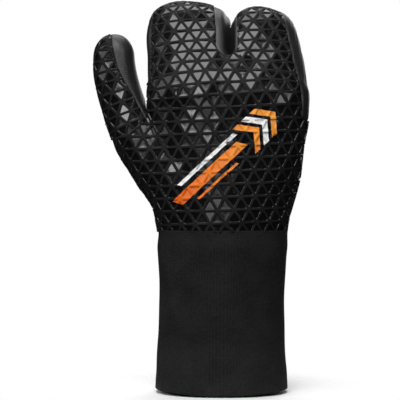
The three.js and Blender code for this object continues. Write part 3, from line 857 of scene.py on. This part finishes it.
def lattice_sheet(settings, low, high, tilt=0.0):
    """The embossed lattice as a flat sheet over a rectangle, with its rows turned by tilt. Its columns are
    u, v and height, then u and v of the middle of the facet that a point belongs to."""
    low, high = np.array(low), np.array(high)
    columns, rows = (int(size * MM / step) + 6 for size, step in
                     zip(high - low, (settings.pitch, settings.pitch * math.sqrt(3) / 2)))
    tree, ids = emboss_tree()
    mesh = made_by(tree, ids, facet_mesh(settings), {
        "Columns": columns, "Rows": rows, "Pitch": settings.pitch,
        "Material": bpy.data.materials["neoprene_ridges"]})
    points = values_of(mesh.vertices, "co") / MM
    centres = values_of(mesh.attributes["centre"].data, "vector") / MM
    mesh.calc_loop_triangles()
    faces = values_of(mesh.loop_triangles, "vertices", int)
    bpy.data.meshes.remove(mesh)
    c, s = math.cos(tilt), math.sin(tilt)
    turned = [p[:, :2] @ ((c, s), (-s, c)) + (low + high) / 2 for p in (points, centres)]
    return np.concatenate([turned[0], points[:, 2:], turned[1]], 1), faces


# ---- materials ----

def linear(hex_colour):
    """An sRGB hex colour as linear RGBA."""
    parts = [int(hex_colour[i:i + 2], 16) / 255 for i in (1, 3, 5)]
    return (*[c / 12.92 if c <= 0.04045 else ((c + 0.055) / 1.055) ** 2.4 for c in parts], 1.0)


def material_nodes(name):
    """A new material's function for adding nodes to its empty tree."""
    material = bpy.data.materials.new(name)
    material.use_nodes = True
    material.node_tree.nodes.clear()
    return partial(node_in, material.node_tree)


def tones(colours, *names):
    """Colours from the settings as RGBA."""
    return [(*getattr(colours, name), 1.0) for name in names]


# The print's shapes in millimetres: a measure along the print with its limits, and the limits across it
PRINT_SLANT = math.radians(43)
ORANGE_SHAPES = (("sheared", 0, 60, -3.4, 3.4), ("sheared", 8, 44, -8.6, -6.9), ("pointed", 71, 76, -11.5, 11.5),
                 ("pointed", 87, 92, -11.5, 11.5))
WHITE_SHAPES = (("sheared", 14, 66, 6.6, 9.2), ("pointed", 79, 84, -11.5, 11.5))


def printed_design(put, colours, base, rough):
    """A generic screen print over a colour and a roughness: bars and chevrons that rise across the back."""
    # the map is in decimetres; s runs up the print and t across it, in millimetres from its lower end
    flat = put("ShaderNodeUVMap", uv_map="flat")
    place = put("ShaderNodeVectorMath", {0: flat, 1: (100, 100, 0), 2: (35.0, -20.0, 0)}, operation="MULTIPLY_ADD")
    c, d = math.cos(PRINT_SLANT), math.sin(PRINT_SLANT)
    s, t = (put("ShaderNodeVectorMath", {0: place, 1: way}, operation="DOT_PRODUCT").outputs["Value"]
            for way in ((c, d, 0), (-d, c, 0)))
    far = put("ShaderNodeMath", {0: t}, operation="ABSOLUTE")
    measures = {"sheared": put("ShaderNodeMath", {0: t, 1: 0.6, 2: s}, operation="MULTIPLY_ADD"),
                "pointed": put("ShaderNodeMath", {0: far, 1: 0.8, 2: s}, operation="MULTIPLY_ADD")}

    def band(value, low, high):
        return put("ShaderNodeMath", {0: value, 1: (low + high) / 2, 2: (high - low) / 2}, operation="COMPARE")

    def drawn(shapes):
        both = 0.0
        for measure, low, high, low_t, high_t in shapes:
            shape = put("ShaderNodeMath", {0: band(measures[measure], low, high), 1: band(t, low_t, high_t)},
                        operation="MULTIPLY")
            both = put("ShaderNodeMath", {0: both, 1: shape}, operation="MAXIMUM")
        return both
    orange, white = drawn(ORANGE_SHAPES), drawn(WHITE_SHAPES)
    low_tone, high_tone, white_tone = tones(colours, "print_low", "print_high", "print_white")
    share = put("ShaderNodeMapRange", {"Value": s, "From Min": 0.0, "From Max": 90.0})
    warm = put("ShaderNodeMix", {"Factor": share, 6: low_tone, 7: high_tone}, data_type="RGBA")
    inked = put("ShaderNodeMix", {"Factor": orange, 6: base, 7: warm.outputs[2]}, data_type="RGBA").outputs[2]
    inked = put("ShaderNodeMix", {"Factor": white, 6: inked, 7: white_tone}, data_type="RGBA").outputs[2]
    ink = put("ShaderNodeMath", {0: orange, 1: white}, operation="MAXIMUM")
    return inked, put("ShaderNodeMix", {"Factor": ink, 2: rough, 3: 0.55})


def embossed_rubber(name, colours, glossy, printed):
    """Nitrile-rubber skin pressed on neoprene: matte ridges round glossy flat facets, with a screen print."""
    put = material_nodes(name)
    where = put("ShaderNodeTexCoord").outputs["Object"]
    cloud = put("ShaderNodeTexNoise", {"Vector": where, "Scale": 90.0, "Detail": 3.0})
    grain = put("ShaderNodeTexNoise", {"Vector": where, "Scale": 500.0 if glossy else 2600.0, "Detail": 2.0})
    part = "facet" if glossy else "ridge"
    dark, light = tones(colours, part + "_dark", part + "_light")
    base = put("ShaderNodeMix", {"Factor": cloud, 6: dark, 7: light}, data_type="RGBA").outputs[2]
    smoothest, roughest = (0.07, 0.2) if glossy else (0.55, 0.75)
    rough = put("ShaderNodeMapRange", {"Value": cloud, "To Min": smoothest, "To Max": roughest})
    bump = put("ShaderNodeBump", {"Height": grain, "Strength": 0.2 if glossy else 0.4, "Distance": 0.0001})
    if printed:
        base, rough = printed_design(put, colours, base, rough)
    shader = put("ShaderNodeBsdfPrincipled", {"Base Color": base, "Roughness": rough, "Normal": bump, "IOR": 1.45,
                                              "Specular IOR Level": 0.5 if glossy else 0.15})
    put("ShaderNodeOutputMaterial", {"Surface": shader})


def smooth_rubber(name, colours):
    """Smooth-skin neoprene: the closed skin of the foam, satin, with faint flow streaks in its relief and roughness;
    the streaks' lighter colour is a painted highlight.
    """
    put = material_nodes(name)
    along = put("ShaderNodeMapping", {"Vector": put("ShaderNodeUVMap", uv_map="flat"), "Scale": (1.0, 0.08, 1.0)})
    streak = put("ShaderNodeTexNoise", {"Vector": along, "Scale": 60.0, "Detail": 3.0})
    where = put("ShaderNodeTexCoord").outputs["Object"]
    grain = put("ShaderNodeTexNoise", {"Vector": where, "Scale": 1800.0, "Detail": 2.0})
    dark, light = tones(colours, "strip_dark", "strip_light")
    # the streaks are painted lighter than the ground between them: a painted highlight along each streak
    base = put("ShaderNodeMix", {"Factor": streak, 6: dark, 7: light}, data_type="RGBA")
    rough = put("ShaderNodeMapRange", {"Value": streak, "To Min": 0.34, "To Max": 0.56})
    height = put("ShaderNodeMath", {0: streak, 1: grain}, operation="ADD")
    bump = put("ShaderNodeBump", {"Height": height, "Strength": 0.25, "Distance": 0.0003})
    shader = put("ShaderNodeBsdfPrincipled", {"Base Color": base.outputs[2], "Roughness": rough, "Normal": bump,
                                              "IOR": 1.52})
    put("ShaderNodeOutputMaterial", {"Surface": shader})


def knit_jersey(name, colours):
    """Nylon jersey laminated on neoprene: fine knit columns, matte, painted paler on the knit's loops and darker in
    its gaps as light and shade, with cloudy patches of random tone.
    """
    put = material_nodes(name)
    where = put("ShaderNodeUVMap", uv_map="flat")
    # real wales are 0.6 mm apart; drawn 0.9 mm apart, so that they still show
    wales, courses = (put("ShaderNodeTexWave", {"Vector": where, "Scale": scale, "Distortion": waver, "Detail": 2.0,
                                                "Detail Scale": 30.0}, bands_direction=way).outputs["Fac"]
                      for way, scale, waver in (("X", 17.5, 1.6), ("Y", 24.0, 2.4)))
    knit = put("ShaderNodeMath", {0: wales, 1: courses}, operation="MULTIPLY")
    fuzz = put("ShaderNodeTexNoise", {"Vector": where, "Scale": 48.0, "Detail": 3.0, "Roughness": 0.7})
    cloud = put("ShaderNodeTexNoise", {"Vector": where, "Scale": 6.0, "Detail": 4.0})
    cloudy_tone = put("ShaderNodeMath", {0: fuzz, 1: cloud}, operation="ADD")
    # the knit's loops are painted paler and its gaps darker, as painted light and shade of the knit; the cloudy
    # patches vary the tone at random
    shade = put("ShaderNodeMath", {0: knit, 1: 0.5, 2: cloudy_tone}, operation="MULTIPLY_ADD")
    paleness = put("ShaderNodeMapRange", {"Value": shade, "From Min": 0.7, "From Max": 1.6})
    dark, light = tones(colours, "jersey_dark", "jersey_light")
    base = put("ShaderNodeMix", {"Factor": paleness, 6: dark, 7: light}, data_type="RGBA")
    height = put("ShaderNodeMath", {0: knit, 1: fuzz}, operation="ADD")
    bump = put("ShaderNodeBump", {"Height": height, "Strength": 0.8, "Distance": 0.0004})
    shader = put("ShaderNodeBsdfPrincipled", {"Base Color": base.outputs[2], "Normal": bump, "Roughness": 0.85,
                                              "Specular IOR Level": 0.2})
    put("ShaderNodeOutputMaterial", {"Surface": shader})


# ---- settings ----

class EmbossSettings(bpy.types.PropertyGroup):
    pitch: FloatProperty(name="Pitch", description="Side of one triangle of the lattice", default=0.0102,
                         min=0.004, max=0.02, unit="LENGTH")
    ridge: FloatProperty(name="Ridge", description="Width of a ridge between two facets", default=0.0018,
                         min=0.0005, max=0.004, unit="LENGTH")
    recess: FloatProperty(name="Recess", description="Depth of a facet under its ridges", default=0.0006,
                          min=0.0, max=0.002, unit="LENGTH")
    dish: FloatProperty(name="Dish", description="How much deeper a facet's middle is than its rim", default=0.0001,
                        min=0.0, max=0.001, unit="LENGTH")


COLOURS = {  # each in sRGB, and what has it
    "ridge_dark": ("#131314", "The ridges in their dark patches"),
    "ridge_light": ("#1c1c1d", "The ridges in their pale patches"),
    "facet_dark": ("#050506", "The facets in their dark patches"),
    "facet_light": ("#09090a", "The facets in their pale patches"),
    "strip_dark": ("#0c0c0d", "The smooth strips between their streaks"),
    # painted highlight: the lighter colour along the smooth strips' streaks
    "strip_light": ("#141415", "The streaks of the smooth strips"),
    # the jersey's two tones: the darker is painted shade in the knit's gaps, the paler painted light on its loops;
    # random cloudy patches mix them too
    "jersey_dark": ("#0d0d0e", "The cuff's jersey between its loops"),
    "jersey_light": ("#2b2b2c", "The cuff's jersey on its loops"),
    "print_low": ("#f26a14", "The print's orange at its lower end"),
    "print_high": ("#ffa83e", "The print's orange at its upper end"),
    "print_white": ("#ffffff", "The print's white")}


class ColourSettings(bpy.types.PropertyGroup):
    __annotations__ = {
        key: FloatVectorProperty(name=key.replace("_", " ").capitalize(), description=words, size=3,
                                 default=linear(colour)[:3], min=0.0, max=1.0, subtype="COLOR")
        for key, (colour, words) in COLOURS.items()}


SOFTBOXES = {  # in words where it stands, its power in watts, and its place, size and aim in metres
    "overhead": ("above the front", 8.6, (-0.12, -0.52, 1.05), (0.7, 0.6), (0, 0, 0.2)),
    "right": ("on the right, seen in reflections only", 3.6, (0.70, -0.83, 0.82), (0.45, 0.6), (0, 0, 0.2)),
    "behind": ("above and behind", 6.0, (0.0, 0.45, 1.2), (0.8, 0.8), (0, 0, 0.2)),
    "front": ("on the left front, narrow", 2.6, (-0.31, -1.03, 0.65), (0.43, 0.18), (-0.03, 0, 0.2)),
    "low": ("low at the front, faint", 0.45, (-0.17, -1.18, 0.39), (0.32, 0.16), (-0.03, 0, 0.2)),
    "left": ("on the left, wide", 3.5, (-1.0, -0.45, 0.75), (0.7, 0.8), (0, 0, 0.15)),
    "palm": ("behind the palm", 3.0, (0.45, 1.0, 0.5), (0.6, 0.8), (0, 0, 0.15))}


class StudioSettings(bpy.types.PropertyGroup):
    __annotations__ = {
        key: FloatProperty(name=key.capitalize(), description="Power of the softbox " + where, default=power,
                           min=0.0, unit="POWER")
        for key, (where, power, *_) in SOFTBOXES.items()}
    __annotations__["backdrop"] = FloatVectorProperty(
        name="Backdrop", description="Colour of the floor under the mitt", size=3, default=(1.0, 1.0, 1.0), min=0.0,
        max=1.0, subtype="COLOR")


class MittSettings(bpy.types.PropertyGroup):
    emboss: PointerProperty(type=EmbossSettings)
    colours: PointerProperty(type=ColourSettings)
    studio: PointerProperty(type=StudioSettings)


@lru_cache(None)
def skin(name):
    """The skins, each made once: back and palm have one for each side of the gap."""
    if name in ("back", "palm"):
        return common_rows(-1 if name == "back" else 1)
    return thumb_skin(math.pi if name == "thumb" else 0.0)


def filled(s, v):
    """How far the filled-out skin lies over the plain solids': 0.9 mm at the fingers, and under at the wrist."""
    wrist = -0.45 - 0.35 * np.clip(s[:, 3] / 50, -1, 1)
    return lerp(wrist, 0.9, smoothstep(v, 50, 115))


def swell(s, u, v):
    """The gentle unevenness of a filled-out panel, in millimetres."""
    waves = (0.55 * np.sin(u / 9.5 + v / 31.0 + 0.6) * np.sin(v / 12.0 - u / 38.0)
             + 0.25 * np.sin(u / 5.3 - v / 6.1 + 2.0))
    drawn_in = 1 - smoothstep(v, 0.0, 9.0)
    return waves * (1 - drawn_in) + filled(s, v) - 0.3 * drawn_in


def embossed_panel(name, on, sheet, faces, region, materials, settings, lift=level, outward=1):
    """An embossed panel on a skin: ridges in the first of its materials, facets in the second."""
    spots, faces, flat = lay(on, sheet, faces, region, lift, SKIRT, outward)
    recessed = (flat[faces, 2] < -0.15 * settings.recess / MM).any(1)
    obj = mesh_piece(name, spots, faces, materials, flat, recessed)
    dressed(obj, "embossed_rubber", name.replace("embossed_", "") + "_panel")


def embossed_hand(face, name, settings, materials, tilt=0.0):
    """The embossed panel on the back's (face -1) or the palm's (face 1) side of the hand."""
    sheet, faces = lattice_sheet(settings, *HAND_SHEET, tilt)
    pair = PairedSkin(*skin("back" if face < 0 else "palm"))

    def region(s):
        fields = hand_fields(s)
        return np.minimum(fields["panels"], fields["back"] * -face) - SEAM
    share = pair.share(sheet[:, 0], sheet[:, 1])[faces]
    faces = faces[share.max(1) - share.min(1) < 0.7]  # those that would bridge the gap are left out
    embossed_panel(name, pair, sheet, faces, region, materials, settings, swell, -face)


class MITT_OT_materials(bpy.types.Operator):
    """Makes the mitt's materials"""
    bl_idname = "mitt.materials"
    bl_label = "Materials"

    def execute(self, context):
        colours = context.scene.mitt.colours
        for start in ("", "printed_"):
            for part in ("ridges", "facets"):
                embossed_rubber(start + "neoprene_" + part, colours, part == "facets", bool(start))
        smooth_rubber("neoprene_smooth_skin", colours)
        knit_jersey("nylon_jersey", colours)
        return {"FINISHED"}


class MITT_OT_back_panel(bpy.types.Operator):
    """Makes the embossed panel over the back of the hand and the fingertips"""
    bl_idname = "mitt.back_panel"
    bl_label = "Back panel"

    def execute(self, context):
        embossed_hand(-1, "embossed_back", context.scene.mitt.emboss,
                      ["printed_neoprene_ridges", "printed_neoprene_facets"], math.radians(2.0))
        return {"FINISHED"}


class MITT_OT_palm_panel(bpy.types.Operator):
    """Makes the embossed panel over the palm"""
    bl_idname = "mitt.palm_panel"
    bl_label = "Palm panel"

    def execute(self, context):
        embossed_hand(1, "embossed_palm", context.scene.mitt.emboss, ["neoprene_ridges", "neoprene_facets"])
        return {"FINISHED"}


class MITT_OT_thumb_panel(bpy.types.Operator):
    """Makes the embossed panel on the thumb's outer side"""
    bl_idname = "mitt.thumb_panel"
    bl_label = "Thumb panel"

    def execute(self, context):
        def region(s):
            return np.minimum(thumb_block(s), strip_edge(s[:, 5]) - s[:, 3]) - SEAM
        settings = context.scene.mitt.emboss
        sheet, faces = lattice_sheet(settings, *THUMB_SHEET)
        embossed_panel("embossed_thumb", skin("thumb"), sheet, faces, region, ["neoprene_ridges", "neoprene_facets"],
                       settings)
        return {"FINISHED"}


def tucked(field):
    """How far a strip dips where its edge runs under a panel."""
    return -OVERLAP * (1 - smoothstep(field, -0.3, 0.7))


def whole(half, low, step_u, step_v):
    """A flat sheet as wide as a skin, from a length along it on."""
    return grid_sheet(half.edge_u[0].min(), half.edge_u[1].max(), low, half.end_v, step_u, step_v)


def gap_lift(s, u, v):
    """Heights of the gap's strip: a rolled rim with fine ripples, and deeper ground inside it."""
    rim, breadth = 1.6, 2.6
    out = -gap_hollow(s[:, 3], s[:, 5])
    deep = np.maximum(smoothstep(-out, 1.5, 3.5), smoothstep(-np.abs(s[:, 4]), -5, -1.5))
    roll = 0.5 * np.exp(-((out - rim) / breadth) ** 2) - 0.5
    ripple = 0.07 * np.sin(u * 2.9 + 0.8 * np.sin(v * 0.13)) * smoothstep(s[:, 5], 117, 126)
    return (roll + ripple) * (1 - deep) + 0.8 * deep + tucked(hand_fields(s)["gap"]) + filled(s, v)


def gap_strip():
    """The strip round the gap, on both compartments, and the web between them."""
    parts = []
    for side, half in zip((-1, 1), skin("back")):
        def region(s):
            return np.minimum(hand_fields(s)["gap"] + OVERLAP, 17 - side * (s[:, 3] - gap_middle(s[:, 5])))
        parts.append(lay(half, *whole(half, 100, 1.0, 1.5), region, gap_lift))
    return joined([*parts, web_patch()])


def side_strip(half, field):
    """The strip down the outer side of a compartment, with long soft wrinkles."""
    def region(s):
        return hand_fields(s)[field] + OVERLAP

    def lift(s, u, v):
        wrinkles = 0.2 * np.sin(u * 1.9 + 0.7 * np.sin(v * 0.11)) * np.sin(v * 0.045 + u * 0.2)
        return filled(s, v) - 0.3 + tucked(hand_fields(s)[field]) + wrinkles
    return lay(half, *whole(half, 60, 1.0, 1.5), region, lift)


def thumb_strip():
    """The strip over the thumb's tip and inner side, with short wrinkles where the thumb bends."""
    def region(s):
        return np.minimum(thumb_block(s), s[:, 3] - strip_edge(s[:, 5]) + OVERLAP)

    def lift(s, u, v):
        out = s[:, 3] - strip_edge(s[:, 5])
        near_bend = np.exp(-((s[:, 2] - 223) / 9) ** 2 - ((out - 4) / 4) ** 2)
        wrinkles = 0.16 * near_bend * np.sin(v * 5.0 + 0.5 * np.sin(u)) + 0.14 * np.sin(u / 2.1) * np.sin(v / 17)
        return tucked(out) - 0.5 + wrinkles
    inside = skin("thumb_inside")
    return lay(inside, *grid_sheet(-60, 60, 0, inside.end_v, 0.8, 0.35), region, lift)


class MITT_OT_strips(bpy.types.Operator):
    """Makes the smooth strips between the embossed panels, and the glue bead round the thumb's base"""
    bl_idname = "mitt.strips"
    bl_label = "Smooth strips"

    def execute(self, context):
        left, right = skin("back")
        for name, node, (spots, faces, flat) in (
                ("strip_gap", "gap_strip", gap_strip()),
                ("strip_index_side", "index_side_strip", side_strip(left, "index")),
                ("strip_little_side", "little_side_strip", side_strip(right, "little")),
                ("strip_thumb", "thumb_strip", thumb_strip())):
            dressed(mesh_piece(name, spots, faces, ["neoprene_smooth_skin"], flat), "smooth_rubber", node)
        dressed(bead("seam_thumb", thumb_seam_line()), "smooth_rubber")
        return {"FINISHED"}


def web_patch():
    """The web between the compartments: a band that turns over the palm's end from the back to the palm's side."""
    count = 25
    x = np.linspace(-7, 7, count)
    turn = np.linspace(-math.pi / 2, math.pi / 2, count)[:, None]
    across = GAP_SHIFT + GAP_LEAN_AT_WEB + x + 0 * turn
    through = np.sin(turn) * 6.0 + 0 * x
    along = WEB_HEIGHT - 2.2 + np.cos(turn) + 0 * x
    spots = place_on_hand(across.ravel(), through.ravel(), along.ravel())
    return spots, grid_faces(count, count), 0 * spots


def thumb_seam_line():
    """Places along the seam round the thumb's base, a little inside the thumb's skin."""
    thumb = skin("thumb")
    v = np.arange(0, thumb.end_v - 2, 0.25)
    line = []
    for u in np.arange(-34.0, 34.0, 1.2):
        first = (thumb_block(thumb.sample(np.full_like(v, u), v)) > 0).argmax()
        at = np.array([u]), v[first:first + 1]
        line.append(thumb.sample(*at)[0, :3] - 0.3 * thumb.normal(*at)[0])
    return np.array(line)


def bead(name, line):
    """A round bead of glue along a line of places."""
    lines = bpy.data.meshes.new(name)
    lines.from_pydata((line * MM).tolist(), [(i, i + 1) for i in range(len(line) - 1)], [])
    tree, ids = bead_tree()
    return new_object(name, made_by(tree, ids, lines, {"Radius": BEAD_RADIUS * MM,
                                                       "Material": bpy.data.materials["neoprene_smooth_skin"]}))


def lining_lift(s, u, v):
    """The lift of the lining, inside the panels."""
    return 0 * u - LINING_INSET


class MITT_OT_lining(bpy.types.Operator):
    """Makes the jersey lining that shows through the cuff"""
    bl_idname = "mitt.lining"
    bl_label = "Lining"

    def execute(self, context):
        parts = []
        for name, face in (("back", -1), ("palm", 1)):
            for side, half in zip((-1, 1), skin(name)):
                def region(s):
                    own = np.where(s[:, 5] < WEB_HEIGHT - 4, side * (s[:, 3] - gap_middle(s[:, 5])) + 0.5, 9.0)
                    return np.minimum(own, s[:, 4] * face + 0.5)
                parts.append(lay(half, *whole(half, 1, 3.0, 3.0), region, lining_lift, outward=-face))

        def everywhere(s):
            return 0 * s[:, 0] + 1
        thumb = skin("thumb")
        parts.append(lay(thumb, *grid_sheet(-60, 60, 0, thumb.end_v, 3.0, 3.0), everywhere, lining_lift))
        spots, faces, flat = joined(parts)
        dressed(mesh_piece("lining", spots, faces[:, ::-1], ["nylon_jersey"], flat), "jersey")
        return {"FINISHED"}


def cuff_loops(inset):
    """Loops of places round the cuff from the hem up, on its outer skin or inset from it."""
    z = np.linspace(0.4, CUFF_LENGTH + 1.5, 70)[:, None]
    turn = np.linspace(0, 2 * math.pi, 181)[None, :]
    share = np.clip(z / CUFF_LENGTH, 0, 1)
    ripple = 0.35 * np.sin(z / 7.0 + 0.8) * np.cos(3 * turn + z / 40.0) * smoothstep(z, 6, 20)
    off = ripple - inset - CUFF_TUCK * smoothstep(z, CUFF_LENGTH - 12, CUFF_LENGTH)
    x = (column(CUFF_ROWS, 1, share) / 2 + off) * rounded(np.cos(turn), CUFF_SQUARE)
    y = (column(CUFF_ROWS, 2, share) / 2 + off) * rounded(np.sin(turn), CUFF_SQUARE)
    shift = CUFF_SHIFT * smoothstep(z, CUFF_LENGTH * 0.4, CUFF_LENGTH)
    lifted = HEM_LIFT * smoothstep(np.abs(x), 12, 48) * (1 - smoothstep(z, 0, 25))
    return np.stack([x + shift, y, z + lifted], -1)


class MITT_OT_cuff(bpy.types.Operator):
    """Makes the smooth jersey cuff with its cut hem"""
    bl_idname = "mitt.cuff"
    bl_label = "Cuff"

    def execute(self, context):
        outer, inner = cuff_loops(0.0), cuff_loops(CUFF_WALL)[::-1]
        hem = [lerp(inner[-1], outer[0], t) - [0, 0, 0.4 * math.sin(math.pi * t) ** 0.5]
               for t in (0.08, 0.3, 0.7, 0.92)]
        loops = np.concatenate([inner, hem, outer])
        girth = np.linspace(0, 260, loops.shape[1])[None] + 0 * loops[..., 2]
        flat = np.stack([girth, loops[..., 2], 0 * girth], -1).reshape(-1, 3)
        obj = mesh_piece("jersey_cuff", loops.reshape(-1, 3), grid_faces(*loops.shape[:2]), ["nylon_jersey"], flat)
        dressed(obj, "jersey", "cuff")
        return {"FINISHED"}


CAMERA_PLACE = (-0.0149, -0.860, 0.1322)
VIEW_WIDTH = 0.2784  # what the camera sees at the origin's distance
BACKDROP_LIGHT = 0.05  # how strongly the pale surroundings light the mitt; the camera sees them at full strength


class MITT_OT_stage(bpy.types.Operator):
    """Makes the floor, the softboxes and the camera"""
    bl_idname = "mitt.stage"
    bl_label = "Stage"

    def execute(self, context):
        scene, studio = context.scene, context.scene.mitt.studio
        scene.view_settings.view_transform = "Standard"
        scene.world = bpy.data.worlds.new("studio")
        scene.world.use_nodes = True
        scene.world.node_tree.nodes.clear()
        put = partial(node_in, scene.world.node_tree)
        seen = put("ShaderNodeLightPath").outputs["Is Camera Ray"]
        dim, pale = (put("ShaderNodeBackground", {"Color": (1, 1, 1, 1), "Strength": strength})
                     for strength in (BACKDROP_LIGHT, 1.0))
        put("ShaderNodeOutputWorld", {0: put("ShaderNodeMixShader", {0: seen, 1: dim, 2: pale})})

        bpy.ops.mesh.primitive_circle_add(vertices=96, radius=4.0, fill_type="NGON", location=(0, 0, -0.001))
        floor = context.object
        floor.name = "floor"
        put = material_nodes("painted_floor")
        paint = put("ShaderNodeBsdfPrincipled", {"Base Color": (*studio.backdrop, 1), "Roughness": 0.9})
        where = put("ShaderNodeTexCoord").outputs["Object"]
        far = put("ShaderNodeVectorMath", {0: where}, operation="LENGTH").outputs["Value"]
        gone = put("ShaderNodeMapRange", {"Value": far, "From Min": 0.035, "From Max": 0.12},
                   interpolation_type="SMOOTHSTEP")
        clear = put("ShaderNodeBsdfTransparent")
        put("ShaderNodeOutputMaterial", {"Surface": put("ShaderNodeMixShader", {0: gone, 1: paint, 2: clear})})
        floor.data.materials.append(bpy.data.materials["painted_floor"])

        for name, (_, _, place, size, aim) in SOFTBOXES.items():
            light = bpy.data.lights.new("softbox_" + name, "AREA")
            light.shape = "RECTANGLE"
            light.size, light.size_y = size
            light.energy = getattr(studio, name)
            obj = new_object(light.name, light)
            obj.location = place
            obj.rotation_euler = (Vector(aim) - Vector(place)).to_track_quat("-Z", "Y").to_euler()
            obj.visible_diffuse = name != "right"

        camera = bpy.data.cameras.new("camera")
        camera.sensor_width = 36.0
        camera.lens = camera.sensor_width * -CAMERA_PLACE[1] / VIEW_WIDTH
        scene.camera = new_object("camera", camera)
        scene.camera.location = CAMERA_PLACE
        scene.camera.rotation_euler = (math.pi / 2, 0, 0)
        return {"FINISHED"}


class MITT_PT_panel(bpy.types.Panel):
    """Lists the mitt's settings and operators"""
    bl_idname = "MITT_PT_panel"
    bl_label = "Mitt"
    bl_space_type = "VIEW_3D"
    bl_region_type = "UI"
    bl_category = "Mitt"

    def draw(self, context):
        mitt = context.scene.mitt
        for group in (mitt.emboss, mitt.colours, mitt.studio):
            for name in type(group).__annotations__:
                self.layout.prop(group, name)
        for operator in OPERATORS:
            self.layout.operator(operator.bl_idname)


OPERATORS = (MITT_OT_materials, MITT_OT_back_panel, MITT_OT_palm_panel, MITT_OT_thumb_panel, MITT_OT_strips,
             MITT_OT_lining, MITT_OT_cuff, MITT_OT_stage)
CLASSES = (EmbossSettings, ColourSettings, StudioSettings, MittSettings, *OPERATORS, MITT_PT_panel)


def register():
    for item in CLASSES:
        bpy.utils.register_class(item)
    bpy.types.Scene.mitt = PointerProperty(type=MittSettings)


def unregister():
    del bpy.types.Scene.mitt
    for item in reversed(CLASSES):
        bpy.utils.unregister_class(item)


def main():
    register()
    for operator in OPERATORS:
        group, name = operator.bl_idname.split(".")
        getattr(getattr(bpy.ops, group), name)()


if __name__ == "__main__":
    main()
